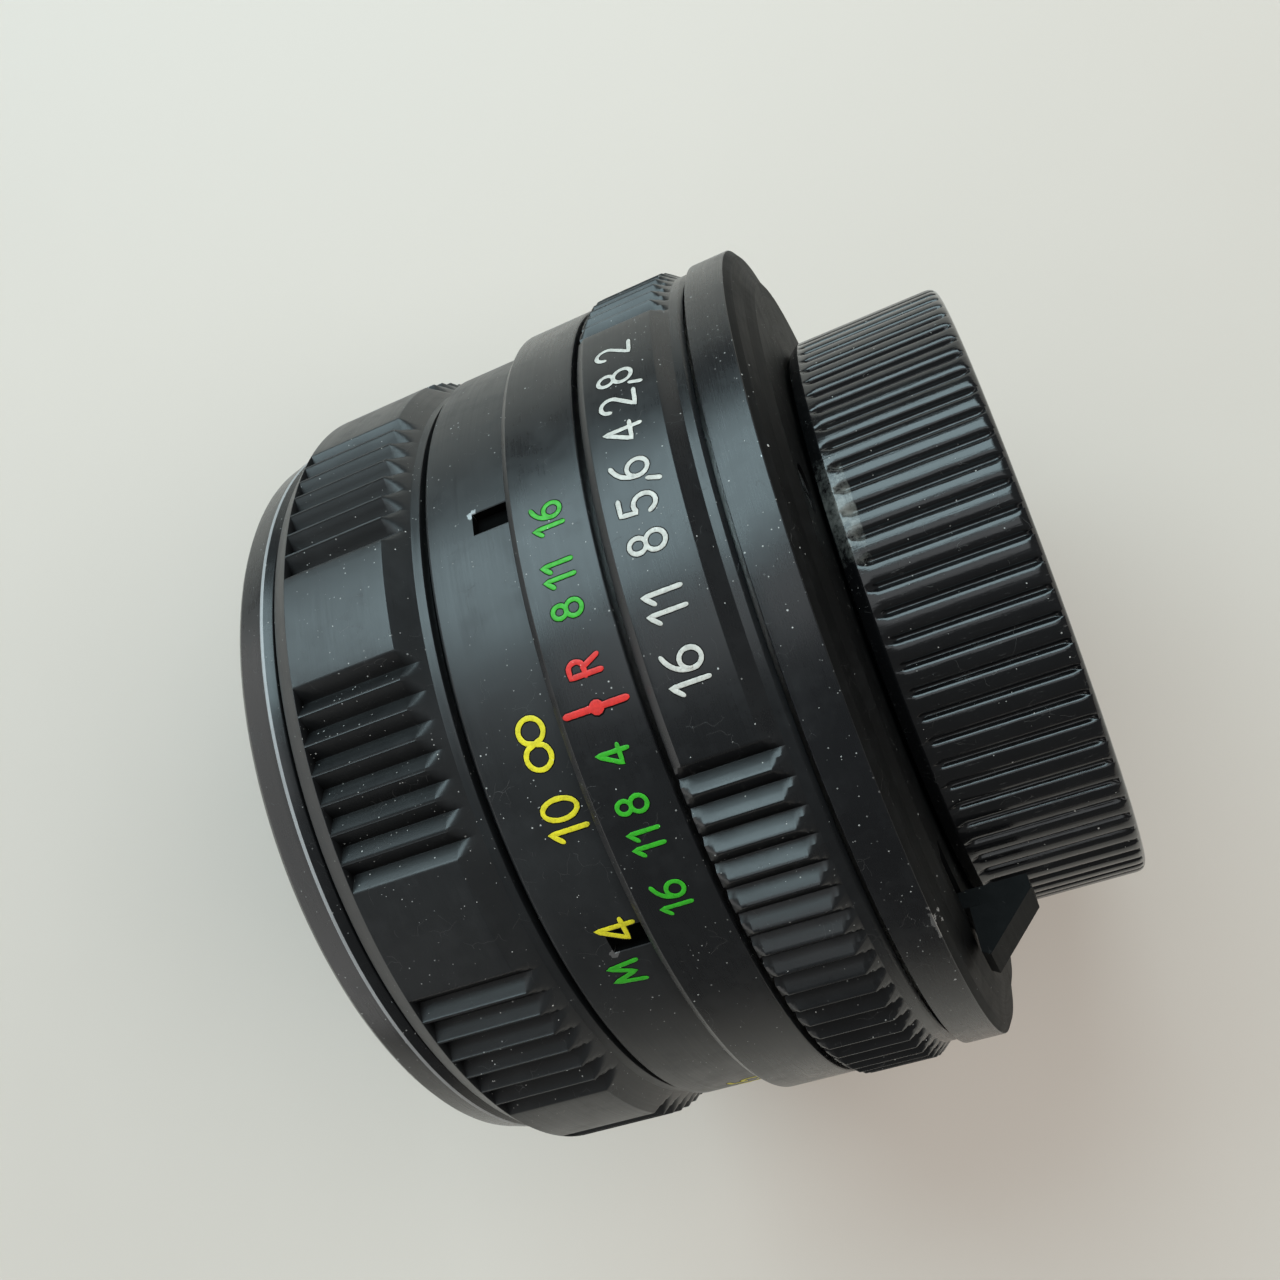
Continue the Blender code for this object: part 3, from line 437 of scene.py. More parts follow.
def turned_metal(name, colour, rough, metallic=1.0, lines=0.35, stain=0.25, scale=7.0):
    """Bare turned metal: tool marks round the axis, stains and grime."""
    s = Shader(name, Metallic=metallic)
    where, cyl = s.place(), s.round_axis()
    marks = s.noise(s.stretch(cyl, (scale, 0.08, scale)), 1.0, 4.0, 0.65)
    cloud = s.noise(where, 0.5, 4.0, 0.6)
    grime = s.ramp(s.noise(where, 1.3, 5.0, 0.7), 0.55, 0.78)
    tint = s.mix(cloud, rgba(*colour), rgba(*[c * 0.78 for c in colour]))
    tint = s.mix(s.math("MULTIPLY", grime, stain), tint, rgba(0.07, 0.06, 0.045))
    rough_map = s.math("ADD", s.ramp(marks, 0.3, 0.7, rough - 0.08, rough + 0.1),
                       s.math("MULTIPLY", grime, 0.15), clamp=True)
    return s.set(Base_Color=tint, Roughness=rough_map, Normal=s.bump(marks, lines, 0.02))


def matt_paint(name, colour=(0.012, 0.012, 0.0125), rough=0.62, gloss=0.35):
    """Flat black optical paint with a fine dry texture."""
    s = Shader(name, Specular_IOR_Level=gloss)
    where = s.place()
    grain = s.noise(where, 14.0, 3.0, 0.7)
    cloud = s.noise(where, 0.7, 3.0)
    spots = s.specks(where, 1.4, 0.07, 0.35)
    tint = s.mix(cloud, rgba(*colour), rgba(*[c * 1.8 for c in colour]))
    tint = s.mix(s.math("MULTIPLY", spots, 0.7), tint, rgba(0.35, 0.35, 0.34))
    return s.set(Base_Color=tint, Roughness=s.ramp(grain, 0.3, 0.7, rough - 0.08, rough + 0.1),
                 Normal=s.bump(grain, 0.35, 0.02))


def coated_glass(name, tint, dust=0.03, index=1.10):
    """Bloomed optical glass with a little dust on it. The low index stands for the coating, which
    leaves each surface only a small part of its light to reflect."""
    s = Shader(name, Transmission_Weight=1.0, IOR=index,
               Specular_Tint=rgba(*tint), Base_Color=rgba(0.97, 0.98, 0.97))
    where = s.place()
    spots = s.specks(where, 1.1, dust, 0.4)
    haze = s.noise(where, 0.4, 3.0)
    rough = s.math("ADD", s.ramp(haze, 0.5, 0.9, 0.0, 0.008), s.math("MULTIPLY", spots, 0.5))
    return s.set(Roughness=rough, Base_Color=s.mix(spots, rgba(0.97, 0.98, 0.97),
                                                   rgba(0.75, 0.75, 0.72)))


def rippled_steel(name, colour=(0.075, 0.078, 0.09)):
    """Blued spring steel of the iris blades, rubbed where they slide."""
    s = Shader(name, Metallic=1.0)
    where = s.place()
    rub = s.noise(s.stretch(where, (1.0, 0.6, 3.0)), 1.4, 4.0, 0.6)
    cloud = s.noise(where, 0.5, 3.0)
    tint = s.mix(cloud, rgba(*colour), rgba(*[c * 0.55 for c in colour]))
    return s.set(Base_Color=tint, Roughness=s.ramp(rub, 0.3, 0.7, 0.32, 0.5),
                 Normal=s.bump(rub, 0.2, 0.01))


MATERIALS = {
    "black_enamel": black_metal("black_enamel", base=(0.0078, 0.0085, 0.0092), rough=0.36),
    "black_rim": black_metal("black_rim", base=(0.0060, 0.0064, 0.0070), rough=0.25, turning=0.12,
                             worn=0.74),
    # painted highlight: grey band for the bright strip along the rim's outer rear edge, still with
    # worn chips
    "rim_painted_highlight": black_metal("rim_painted_highlight", base=(0.20, 0.205, 0.21), rough=0.34, worn=0.9),
    "black_ring": black_metal("black_ring", base=(0.0052, 0.0056, 0.0062), rough=0.28),
    # painted shade: near-black flat paint for the shade inside the two scale notches
    "notch_painted_shade": matt_paint("notch_painted_shade", (0.0012, 0.0012, 0.0012), 0.85, 0.05),
    # painted shade: a dark rim round every figure for the shade on the engraving's walls
    "engraving_shade_rim": matt_paint("engraving_shade_rim", (0.0016, 0.0016, 0.0016), 0.6, 0.15),
    "black_base": black_metal("black_base", base=(0.0040, 0.0043, 0.0050), rough=0.27,
                              turning=0.7, worn=0.66, turn_scale=16.0, dust=1.3),
    # partly a real matte finish, partly painted shade: a darker black for the lever and the rear of
    # the base ring by the cap
    "dull_shaded_black": black_metal("dull_shaded_black", base=(0.0020, 0.0021, 0.0022), rough=0.55, worn=0.9,
                               dust=0.5, gloss=0.10),
    "cap_plastic": moulded_plastic("cap_plastic"),
    "matt_black": matt_paint("matt_black"),
    "turned_alloy": turned_metal("turned_alloy", (0.62, 0.62, 0.60), 0.32),
    "brass": turned_metal("brass", (0.62, 0.44, 0.18), 0.30),
    "steel": turned_metal("steel", (0.56, 0.56, 0.57), 0.26, stain=0.4),
    "blade_steel": rippled_steel("blade_steel"),
    "front_glass": coated_glass("front_glass", (0.62, 0.42, 1.0), index=1.32),
    "coated_glass": coated_glass("coated_glass", (1.0, 0.80, 0.60)),
    "paint_white": engraving_paint("paint_white", (0.56, 0.56, 0.52), (0.16, 0.15, 0.14)),
    "paint_yellow": engraving_paint("paint_yellow", (0.74, 0.66, 0.022), (0.22, 0.18, 0.02)),
    "paint_green": engraving_paint("paint_green", (0.035, 0.40, 0.018), (0.012, 0.12, 0.01)),
    "paint_red": engraving_paint("paint_red", (0.66, 0.030, 0.025), (0.25, 0.015, 0.012)),
}

# ---- rings --------------------------------------------------------------------------------------


def rides(ob, body, slot, *nodes):
    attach(ob, body)
    if nodes:
        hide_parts(*nodes)
    return ob


def v_shape(depth):
    """Half of a 90 degree groove with an eased crest."""
    return [(0.0, depth - 0.02, 0.0), (0.05, depth - 0.05, 0.0), (0.5 * depth, 0.5 * depth, 0.0),
            (depth - 0.10, 0.10, 0.3), (depth - 0.035, 0.045, 1.0), (depth + 0.035, 0.010, 1.0),
            (depth + 0.12, 0.0, 0.0)]


GRIP_BLOCKS, GRIP_PER_BLOCK, GRIP_PITCH, GRIP_AZ0, GRIP_DEPTH = 9, 7, 3.6, 1.5, 0.9
AP_PITCH, AP_RIDGES, AP_FIRST, AP_DEPTH = 360.0 / 105.0, 88, -8.5, 0.85
CAP_GROOVES, CAP_DEPTH = 84, 0.45


def focus_grip():
    shoulder = GRIP_RO - 1.3
    web = GRIP_Z1 - 4.6
    inner = BARREL_RO + 2 * GAP
    bore = TUBE_RO - 0.1
    end = GRIP_Z1 - 1.5
    corners = [(GRIP_RO - 1.0, GRIP_Z1, 0.12), (GRIP_RO, end, 0.10),
               (GRIP_RO, GRIP_Z0 + 2.1, 0.12), (shoulder, GRIP_Z0 + 0.65, 0.08),
               (shoulder, GRIP_Z0, 0.08), (bore, GRIP_Z0, 0.1), (bore, web, 0.0), (inner, web, 0.0),
               (inner, GRIP_Z1, 0.15)]
    rows = with_rows(densify(fillet(corners), 0.45), [end - 0.05])
    half = 0.5 * (GRIP_PER_BLOCK - 1)
    centres = [GRIP_AZ0 + 360.0 * b / GRIP_BLOCKS + GRIP_PITCH * (i - half)
               for b in range(GRIP_BLOCKS) for i in range(GRIP_PER_BLOCK)]
    samples = grooved(GRIP_RO, centres, v_shape(GRIP_DEPTH))
    ob = turned("focus_grip_knurled", rows, samples, MATERIALS["black_enamel"],
                cut=window(GRIP_Z0 + 0.3, end - 0.05))
    rides(ob, "focus_ring", "black_enamel", "focus_grip")


def filter_ring():
    floor = 0.8
    rim_ro = FILTER_R + 2.65
    wall = FILTER_R + 0.02
    pitch = 0.75
    outer = [(rim_ro - 0.3, RIM_Z1, 0.22), (rim_ro, RIM_Z1 - 0.35, 0.3),
             (rim_ro + 0.45, RIM_Z0 + 0.78, 0.35), (rim_ro + 0.12, RIM_Z0 + 0.05, 0.15),
             (BARREL_RO + GAP, RIM_Z0, 0.0), (BARREL_RO + GAP, RIM_Z0 + floor, 0.0),
             (wall + 0.42, RIM_Z0 + floor, 0.0), (wall + 0.42, RIM_Z1, 0.1)]
    rows = densify(fillet(outer, 5), 0.6)
    top, low = RIM_Z1 - 0.35, RIM_Z0 + floor + 0.35
    ob = turned("filter_ring_rim", rows, even(288), MATERIALS["black_rim"], sharp=40.0)
    ob.data.materials.append(MATERIALS["rim_painted_highlight"])
    # painted highlight: faces round the rim's outer rear edge take the grey band
    for face in ob.data.polygons:
        radius = math.hypot(face.center.y, face.center.z - AXIS_Z) / MM
        reach = (FLANGE_X - face.center.x) / MM
        if radius > rim_ro + 0.24 and RIM_Z0 + 0.42 < reach < RIM_Z0 + 0.88:
            face.material_index = 1

    rides(ob, "lens_block", "black_enamel", "filter_ring")
    thread(FILTER_R + 0.40, low, top, pitch, -0.40, "filter_thread", "black_rim", "lens_block",
           wall + 0.44)


def thread(base, z0, z1, pitch, height, name, material, body, back):
    """A V thread of one start on a thin sleeve between radius base and back."""
    bm = bmesh.new()
    bm.verts.layers.float.new("wear_and_sheen")
    per_turn, around = 8, 144
    steps = int(round((z1 - z0) / pitch * per_turn))
    grid = []
    for i in range(steps + 1):
        z = z0 + (z1 - z0) * i / steps
        fade = min(1.0, (z - z0) / (0.4 * pitch), (z1 - z) / (0.4 * pitch))
        line = []
        for j in range(around):
            phase = (z / pitch - j / around) % 1.0
            tooth = max(0.0, min(1.0, 1.25 * (1.0 - abs(2.0 * phase - 1.0)) - 0.12))
            line.append(bm.verts.new(lens_point(z, base + height * tooth * max(0.0, fade),
                                                360.0 * j / around)))
        grid.append(line)
    for z in (z1, z0):
        grid.append([bm.verts.new(lens_point(z, back, 360.0 * j / around)) for j in range(around)])
    for i in range(len(grid)):
        a, b = grid[i], grid[(i + 1) % len(grid)]
        for j in range(around):
            k = (j + 1) % around
            bm.faces.new((a[j], a[k], b[k], b[j]))
    bmesh.ops.recalc_face_normals(bm, faces=bm.faces)
    mark_sharp(bm, 50.0)
    ob = finish_mesh(name, bm, MATERIALS[material])
    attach(ob, body)
    return ob


def name_ring():
    """Blank conical ring with fine glare grooves that holds the front glass."""
    r_out = BARREL_RO - 2.0
    floor = RIM_Z1 - 2.3
    cell = floor - 4.6
    lip = 15.0
    face = span("lens_barrel")[1] + 0.03
    rim = BARREL_RO + 0.22
    top = [(r_out, face, 0.0), (rim, face, 0.0), (rim, face + 0.22, 0.06),
           (r_out - 0.6, face + 0.22, 0.06), (r_out - 0.85, floor - 0.2, 0.05)]
    count = 11
    start, stop = (r_out - 1.0, floor - 0.35), (lip + 0.5, cell + 1.05)
    for i in range(count):
        s = i / count
        r = start[0] + (stop[0] - start[0]) * s
        z = start[1] + (stop[1] - start[1]) * s
        width = (start[0] - stop[0]) / count
        drop = (start[1] - stop[1]) / count
        top += [(r, z, 0.0), (r - 0.30 * width, z - drop * 0.95, 0.0)]
    top += [(lip + 0.3, cell + 0.95, 0.05), (lip, cell + 0.75, 0.05), (lip, cell + 0.35, 0.0),
            (r_out, cell + 0.35, 0.0)]
    ob = turned("name_ring_cone", fillet(top, 2), even(192), MATERIALS["matt_black"], sharp=25.0)
    rides(ob, "lens_block", "matt_black", "name_ring")


def scale_barrel():
    step = TUBE_Z1 + 0.5
    z0 = SKIRT_Z0
    spigot = TUBE_RO - 0.4
    inner = TUBE_RO + GAP
    corners = [(spigot, GRIP_Z1 - 4.6 - GAP, 0.0), (spigot, GRIP_Z0 - GAP, 0.0),
               (inner - 0.1, GRIP_Z0 - GAP, 0.0), (inner - 0.1, SKIRT_Z1, 0.0),
               (SKIRT_RO - 0.12, SKIRT_Z1, 0.10), (SKIRT_RO, SKIRT_Z1 - 0.18, 0.08),
               (SKIRT_RO, z0, 0.1), (inner, z0, 0.0), (inner, step, 0.0), (spigot - 0.9, step, 0.0),
               (spigot - 0.9, GRIP_Z1 - 4.6 - GAP, 0.0)]
    notch_end = DOF_Z1 + 2.7
    rows = with_rows(densify(fillet(corners), 0.8), [notch_end, DOF_Z1 - 0.6])
    half = math.degrees(0.8 / SKIRT_RO)
    samples = even(288)
    for middle in (NOTCH_AZ, -NOTCH_AZ):
        samples = [s for s in samples if abs((s[0] - middle + 180.0) % 360.0 - 180.0) > half + 0.2]
        for turn, r in ((-half - 0.12, 1e9), (-half, SKIRT_RO - 0.04), (-half + 0.05, SKIRT_RO - 0.72),
                        (0.0, SKIRT_RO - 0.72), (half - 0.05, SKIRT_RO - 0.72),
                        (half, SKIRT_RO - 0.04), (half + 0.12, 1e9)):
            samples.append(((middle + turn) % 360.0, r, 0.0))
    samples.sort()

    def chipped(z, r, az):
        for middle, side in ((NOTCH_AZ, 1), (-NOTCH_AZ, -1)):
            off = (az - middle + 180.0) % 360.0 - 180.0
            if abs(off * side - half - 0.1) < 0.3 and abs(z - notch_end) < 0.1:
                return 2.2
        return 0.0
    ob = turned("scale_skirt", rows, samples, MATERIALS["black_enamel"],
                cut=window(DOF_Z1 - 0.6, notch_end), worn=chipped)
    # painted shade: faces inside both notches take the near-black notch material
    ob.data.materials.append(MATERIALS["notch_painted_shade"])
    for face in ob.data.polygons:
        radius = math.hypot(face.center.y, face.center.z - AXIS_Z) / MM
        reach = (FLANGE_X - face.center.x) / MM
        if SKIRT_RO - 0.8 < radius < SKIRT_RO - 0.2 and DOF_Z1 - 0.7 < reach < notch_end + 0.02:
            face.material_index = 1
    rides(ob, "focus_ring", "black_enamel", "scale_barrel")


def dof_ring():
    web = 0.5
    inner = SKIRT_RO + GAP
    corners = [(DOF_RO - 0.35, DOF_Z1, 0.05), (DOF_RO, DOF_Z1 - 0.45, 0.10), (DOF_RO, DOF_Z0, 0.16),
               (TUBE_RO + GAP, DOF_Z0, 0.0), (TUBE_RO + GAP, DOF_Z0 + web, 0.0),
               (inner, DOF_Z0 + web, 0.0), (inner, DOF_Z1, 0.05)]
    ob = turned("dof_sleeve", densify(fillet(corners, 4), 0.9), even(288), MATERIALS["black_ring"])
    rides(ob, "base", "black_ring", "dof_ring")


def aperture_ring():
    inner = TUBE_RO + GAP
    corners = [(AP_RO - 0.45, AP_Z1, 0.06), (AP_RO, AP_Z1 - 0.6, 0.15), (AP_RO, AP_Z0 + 1.9, 0.12),
               (AP_RO - 0.8, AP_Z0 + 0.9, 0.08), (AP_RO - 0.8, AP_Z0 + 0.3, 0.05),
               (AP_RO - 1.0, AP_Z0, 0.03), (inner, AP_Z0, 0.0), (inner, AP_Z1, 0.08)]
    rows = densify(fillet(corners), 0.4)
    centres = [AP_FIRST - AP_PITCH * (i + 0.5) for i in range(AP_RIDGES)]
    samples = grooved(AP_RO, centres, v_shape(AP_DEPTH))
    ob = turned("aperture_ring_ridged", rows, samples, MATERIALS["black_ring"],
                cut=window(AP_Z0 + 0.95, AP_Z1 + 1.0))
    rides(ob, "aperture_control", "black_ring", "aperture_ring")
    return ob


def prism(bm, outline, z0, z1):
    """A closed prism along the axis; outline lists (x up, y) in the lens frame."""
    def at(x, y, z):
        return lens_point(z, math.hypot(x, y), math.degrees(math.atan2(y, x)))
    low = [bm.verts.new(at(x, y, z0)) for x, y in outline]
    high = [bm.verts.new(at(x, y, z1)) for x, y in outline]
    bm.faces.new(low)
    bm.faces.new(high[::-1])
    for i in range(len(outline)):
        k = (i + 1) % len(outline)
        bm.faces.new((low[i], low[k], high[k], high[i]))


def circle(cx, cy, r, count):
    return [(cx + r * math.cos(2 * math.pi * i / count), cy + r * math.sin(2 * math.pi * i / count))
            for i in range(count)]


def polar(r, az):
    return r * math.cos(math.radians(az)), r * math.sin(math.radians(az))


def cut_with(ob, bm):
    """Takes the closed solids in bm out of ob."""
    bmesh.ops.recalc_face_normals(bm, faces=bm.faces)
    mesh = bpy.data.meshes.new("cutter")
    bm.to_mesh(mesh)
    bm.free()
    cutter = bpy.data.objects.new("cutter", mesh)
    bpy.context.scene.collection.objects.link(cutter)
    mod = ob.modifiers.new("cut", "BOOLEAN")
    mod.operation = "DIFFERENCE"
    mod.solver = "EXACT"
    mod.object = cutter
    graph = bpy.context.evaluated_depsgraph_get()
    made = bpy.data.meshes.new_from_object(ob.evaluated_get(graph))
    ob.modifiers.remove(mod)
    old = ob.data
    made.name = old.name
    ob.data = made
    bpy.data.meshes.remove(old)
    bpy.data.objects.remove(cutter, do_unlink=True)
    bpy.data.meshes.remove(mesh)


LEVER_AZ, LEVER_RI, LEVER_RO = -49.0, 24.7, 26.0


def mount_flange():
    ring_ri = TUBE_RO + GAP
    corners = [(BASE_RO, BASE_LEN, 0.12), (BASE_RO, 1.15, 0.10), (BASE_RO - 0.6, 0.75, 0.05),
               (BASE_RO - 2.0, 0.45, 0.05), (BASE_RO - 3.0, 0.0, 0.05), (THREAD_R, 0.0, 0.0),
               (THREAD_R - 0.65, -0.1, 0.0), (THREAD_R - 0.65, BOSS_Z, 0.1), (BOSS_RI, BOSS_Z, 0.12),
               (BOSS_RI, PLATE_T, 0.0), (ring_ri, PLATE_T, 0.0), (ring_ri, BASE_LEN, 0.08)]

    def rubbed(z, r, az):
        off = abs((az + 35.0 + 180.0) % 360.0 - 180.0)
        return 0.8 * max(0.0, 1.0 - off / 4.0) if z < 1.3 and r > BASE_RO - 0.7 else 0.0
    ob = turned("base_ring", densify(fillet(corners), 0.9), even(240), MATERIALS["black_base"],
                worn=rubbed)
    bm = bmesh.new()
    reach = 10.0 + math.degrees(1.3 / 25.3) + 1.5
    arc_out = [polar(LEVER_RO + GAP, LEVER_AZ - reach + 2 * reach * i / 16) for i in range(17)]
    arc_in = [polar(LEVER_RI - GAP, LEVER_AZ + reach - 2 * reach * i / 16) for i in range(17)]
    prism(bm, arc_out + arc_in, -1.0, PLATE_T + 1.0)
    for az in (20.0, 140.0, 260.0):
        prism(bm, circle(*polar(THREAD_R + 4.0, az), 1.6, 24), -1.0, PLATE_T + 1.0)
    prism(bm, circle(-19.5, 0.0, 1.1, 20), BOSS_Z - 1.0, PLATE_T + 1.0)
    prism(bm, circle(*polar(0.5 * (TUBE_RO + GAP + BASE_RO), 30.0), 0.7, 12), 1.6, BASE_LEN + 1.0)
    cut_with(ob, bm)
    # painted shade: the rear faces of the base ring next to the cap take the darker dull black
    ob.data.materials.append(MATERIALS["dull_shaded_black"])
    for face in ob.data.polygons:
        radius = math.hypot(face.center.y, face.center.z - AXIS_Z) / MM
        reach = (FLANGE_X - face.center.x) / MM
        if reach < 1.1 and radius < BASE_RO - 0.06:
            face.material_index = 1
    rides(ob, "base", "black_ring", "mount_flange")
    thread(THREAD_R - 0.62, BOSS_Z + 0.2, -0.4, 1.0, 0.60, "mount_thread", "steel", "base",
           THREAD_R - 0.70)


def rear_cap():
    bore = THREAD_R + GAP
    ease = 0.8
    floor = CAP_Z0 + 1.6
    recess = 0.35
    corners = [(0.0, floor, 0.0), (bore, floor, 0.3), (bore, CAP_Z1, 0.1),
               (CAP_RO - 0.55, CAP_Z1, 0.12), (CAP_RO, CAP_Z1 - 0.75, 0.35), (CAP_RO, CAP_Z0, ease),
               (CAP_RO - 2.4, CAP_Z0, 0.12), (CAP_RO - 2.7, CAP_Z0 + recess, 0.12),
               (8.4, CAP_Z0 + recess, 0.10), (8.1, CAP_Z0 + 0.1, 0.10), (7.5, CAP_Z0 + 0.1, 0.10),
               (7.2, CAP_Z0 + recess, 0.10), (1.3, CAP_Z0 + recess, 0.08),
               (1.1, CAP_Z0 + recess - 0.12, 0.06), (0.0, CAP_Z0 + recess - 0.12, 0.0)]
    rows = [(r, z, 0.0) for r, z, _ in fillet(corners, 5)]
    front, rear = CAP_Z1 - 1.2, CAP_Z0 + 0.35
    fine = []
    for i, p in enumerate(rows):
        fine.append(p)
        q = rows[i + 1] if i + 1 < len(rows) else p
        if p[0] > CAP_RO - 0.01 and q[0] > CAP_RO - 0.01 and abs(p[1] - q[1]) > 3.0:
            for s in (0.04, 0.055, 0.07, 0.085, 0.10, 0.13, 0.2, 0.35, 0.5, 0.65, 0.8, 0.9, 0.94,
                      0.97):
                fine.append((p[0], p[1] + (q[1] - p[1]) * s, 0.0))

    def fade(z):
        if not rear < z < front:
            return 0.0
        nose = min(1.0, (front - z) / 0.55)
        tail = min(1.0, (z - rear) / 0.5)
        return math.sqrt(max(0.0, 1.0 - (1.0 - nose) ** 2)) * math.sqrt(max(0.0, 1 - (1 - tail) ** 2))
    shape = [(0.0, CAP_DEPTH, 0.0), (0.10, 0.41, 0.0), (0.17, 0.31, 0.0), (0.22, 0.19, 0.0),
             (0.29, 0.11, 0.0), (0.39, 0.055, 0.0), (0.55, 0.018, 0.0), (0.84, 0.0, 0.0)]

    # pale patch on the front shoulder round az 18, the side facing the window: partly a smear, partly
    # painted highlight
    def smear_and_sheen_at(z, r, az):
        off = abs((az - 18.0 + 180.0) % 360.0 - 180.0)
        return 1.1 * max(0.0, 1.0 - off / 24.0) if z > CAP_Z1 - 1.9 and r > CAP_RO - 1.0 else 0.0
    samples = grooved(CAP_RO, [360.0 * i / CAP_GROOVES for i in range(CAP_GROOVES)], shape, 5.0)
    ob = turned("rear_cap_ribbed", fine, samples, MATERIALS["cap_plastic"], cut=fade, closed=False,
                sharp=50.0, worn=smear_and_sheen_at)
    rides(ob, "cap", "cap_plastic", "rear_cap")


def pin_spring():
    """Coil round the stop-down pin, between collar and seat."""
    rear, front, _ = span("pin_spring")
    wire, coil, turns, each, sides = 0.13, 1.4, 3, 24, 8
    bm = bmesh.new()
    rings = []
    for i in range(turns * each + 1):
        s = i / (turns * each)
        a = 2.0 * math.pi * turns * s
        ring = []
        for k in range(sides):
            b = 2.0 * math.pi * k / sides
            r = coil + wire * math.cos(b)
            z = rear + wire + (front - rear - 2.0 * wire) * s + wire * math.sin(b)
            ring.append(bm.verts.new((FLANGE_X - z * MM, r * MM * math.sin(a),
                                      AXIS_Z + (r * math.cos(a) - PIN_BELOW_AXIS) * MM)))
        rings.append(ring)
    for a, b in zip(rings, rings[1:]):
        for j in range(sides):
            k = (j + 1) % sides
            bm.faces.new((a[j], a[k], b[k], b[j]))
    bm.faces.new(rings[0])
    bm.faces.new(rings[-1][::-1])
    ob = finish_mesh("pin_spring_coil", bm, MATERIALS["steel"])
    rides(ob, "stop_pin", "steel", "pin_spring")
    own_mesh(ob)


# ---- glass --------------------------------------------------------------------------------------


def sag(radius, r):
    drop = abs(radius) - math.sqrt(radius * radius - r * r)
    return math.copysign(drop, radius)


def element(name, edge, front, rear, material, front_r=None, rear_r=None):
    """A lens element; front and rear are (vertex z, radius), and a positive radius bends back."""
    count = 12
    reach = front_r or edge
    rows = [(reach * i / count, front[0] - sag(front[1], reach * i / count), 0.0)
            for i in range(count + 1)]
    if front_r:
        rows.append((edge, rows[-1][1], 0.0))
    reach = rear_r or edge
    back = [(reach * i / count, rear[0] - sag(rear[1], reach * i / count), 0.0)
            for i in range(count + 1)]
    if rear_r:
        rows.append((edge, back[-1][1], 0.0))
    rows += back[::-1]
    ob = turned(name + "_polished", rows, even(72), MATERIALS[material], closed=False)
    rides(ob, "lens_block", "coated_glass", name)


def optics():
    cell = RIM_Z1 - 2.3 - 4.6
    element("front_singlet", 15.6, (cell + 2.4, 36.0), (cell - 2.2, 190.0), "front_glass")
    element("front_doublet_crown", 14.2, (cell - 2.6, 21.5), (cell - 9.7, 56.0), "coated_glass")
    element("front_doublet_flint", 14.2, (cell - 10.0, 56.0), (cell - 11.4, 16.0), "coated_glass",
            rear_r=10.2)
    element("rear_doublet_flint", 10.8, (6.6, -15.0), (5.5, 52.0), "coated_glass", front_r=9.4)
    element("rear_doublet_crown", 10.8, (5.2, 52.0), (-1.6, -22.0), "coated_glass")
    element("rear_singlet", 12.0, (-1.9, 110.0), (-6.0, -44.0), "front_glass")


# ---- engraved figures ---------------------------------------------------------------------------


def oval(cx, cy, rx, ry, a0=90.0, a1=450.0, count=20):
    return [(cx + rx * math.cos(math.radians(a0 + (a1 - a0) * i / count)),
             cy + ry * math.sin(math.radians(a0 + (a1 - a0) * i / count))) for i in range(count + 1)]


def bend(p0, p1, p2, count=8):
    return [tuple((1 - t) ** 2 * a + 2 * t * (1 - t) * b + t * t * c for a, b, c in zip(p0, p1, p2))
            for t in [i / count for i in range(count + 1)]]


# strokes in units of the figure's height, with its width first
GLYPHS = {
    "0": (0.60, [oval(0.30, 0.5, 0.27, 0.47)]),
    "1": (0.30, [[(0.02, 0.76), (0.25, 1.0), (0.25, 0.0)]]),
    "2": (0.58, [oval(0.29, 0.72, 0.25, 0.27, 170.0, -35.0, 12) + [(0.03, 0.0), (0.57, 0.0)]]),
    "4": (0.62, [[(0.45, 0.0), (0.45, 1.0), (0.03, 0.26), (0.60, 0.26)]]),
    "5": (0.58, [[(0.52, 1.0), (0.12, 1.0), (0.07, 0.56)]
                 + oval(0.27, 0.31, 0.27, 0.31, 125.0, -155.0, 14)]),
    "6": (0.60, [bend((0.50, 1.0), (0.06, 0.82), (0.04, 0.32)) + oval(0.30, 0.29, 0.26, 0.29, 180.0,
                                                                     -180.0, 18)]),
    "7": (0.56, [[(0.03, 1.0), (0.53, 1.0), (0.20, 0.0)]]),
    "8": (0.58, [oval(0.29, 0.76, 0.21, 0.23), oval(0.29, 0.27, 0.26, 0.27)]),
    ",": (0.16, [[(0.12, 0.05), (0.02, -0.22)]]),
    "R": (0.58, [[(0.04, 0.0), (0.04, 1.0)] + oval(0.28, 0.75, 0.22, 0.25, 90.0, -90.0, 10)
                 + [(0.04, 0.50)], [(0.28, 0.5), (0.52, 0.0)]]),
    "M": (0.90, [[(0.03, 0.0), (0.16, 1.0), (0.44, 0.15), (0.74, 1.0), (0.86, 0.0)]]),
    "inf": (1.90, [oval(0.49, 0.5, 0.45, 0.46, 38.0, 322.0, 18)
                   + oval(1.41, 0.5, 0.45, 0.46, 142.0, -142.0, 18)
                   + [oval(0.49, 0.5, 0.45, 0.46, 38.0, 322.0, 18)[0]]]),
}


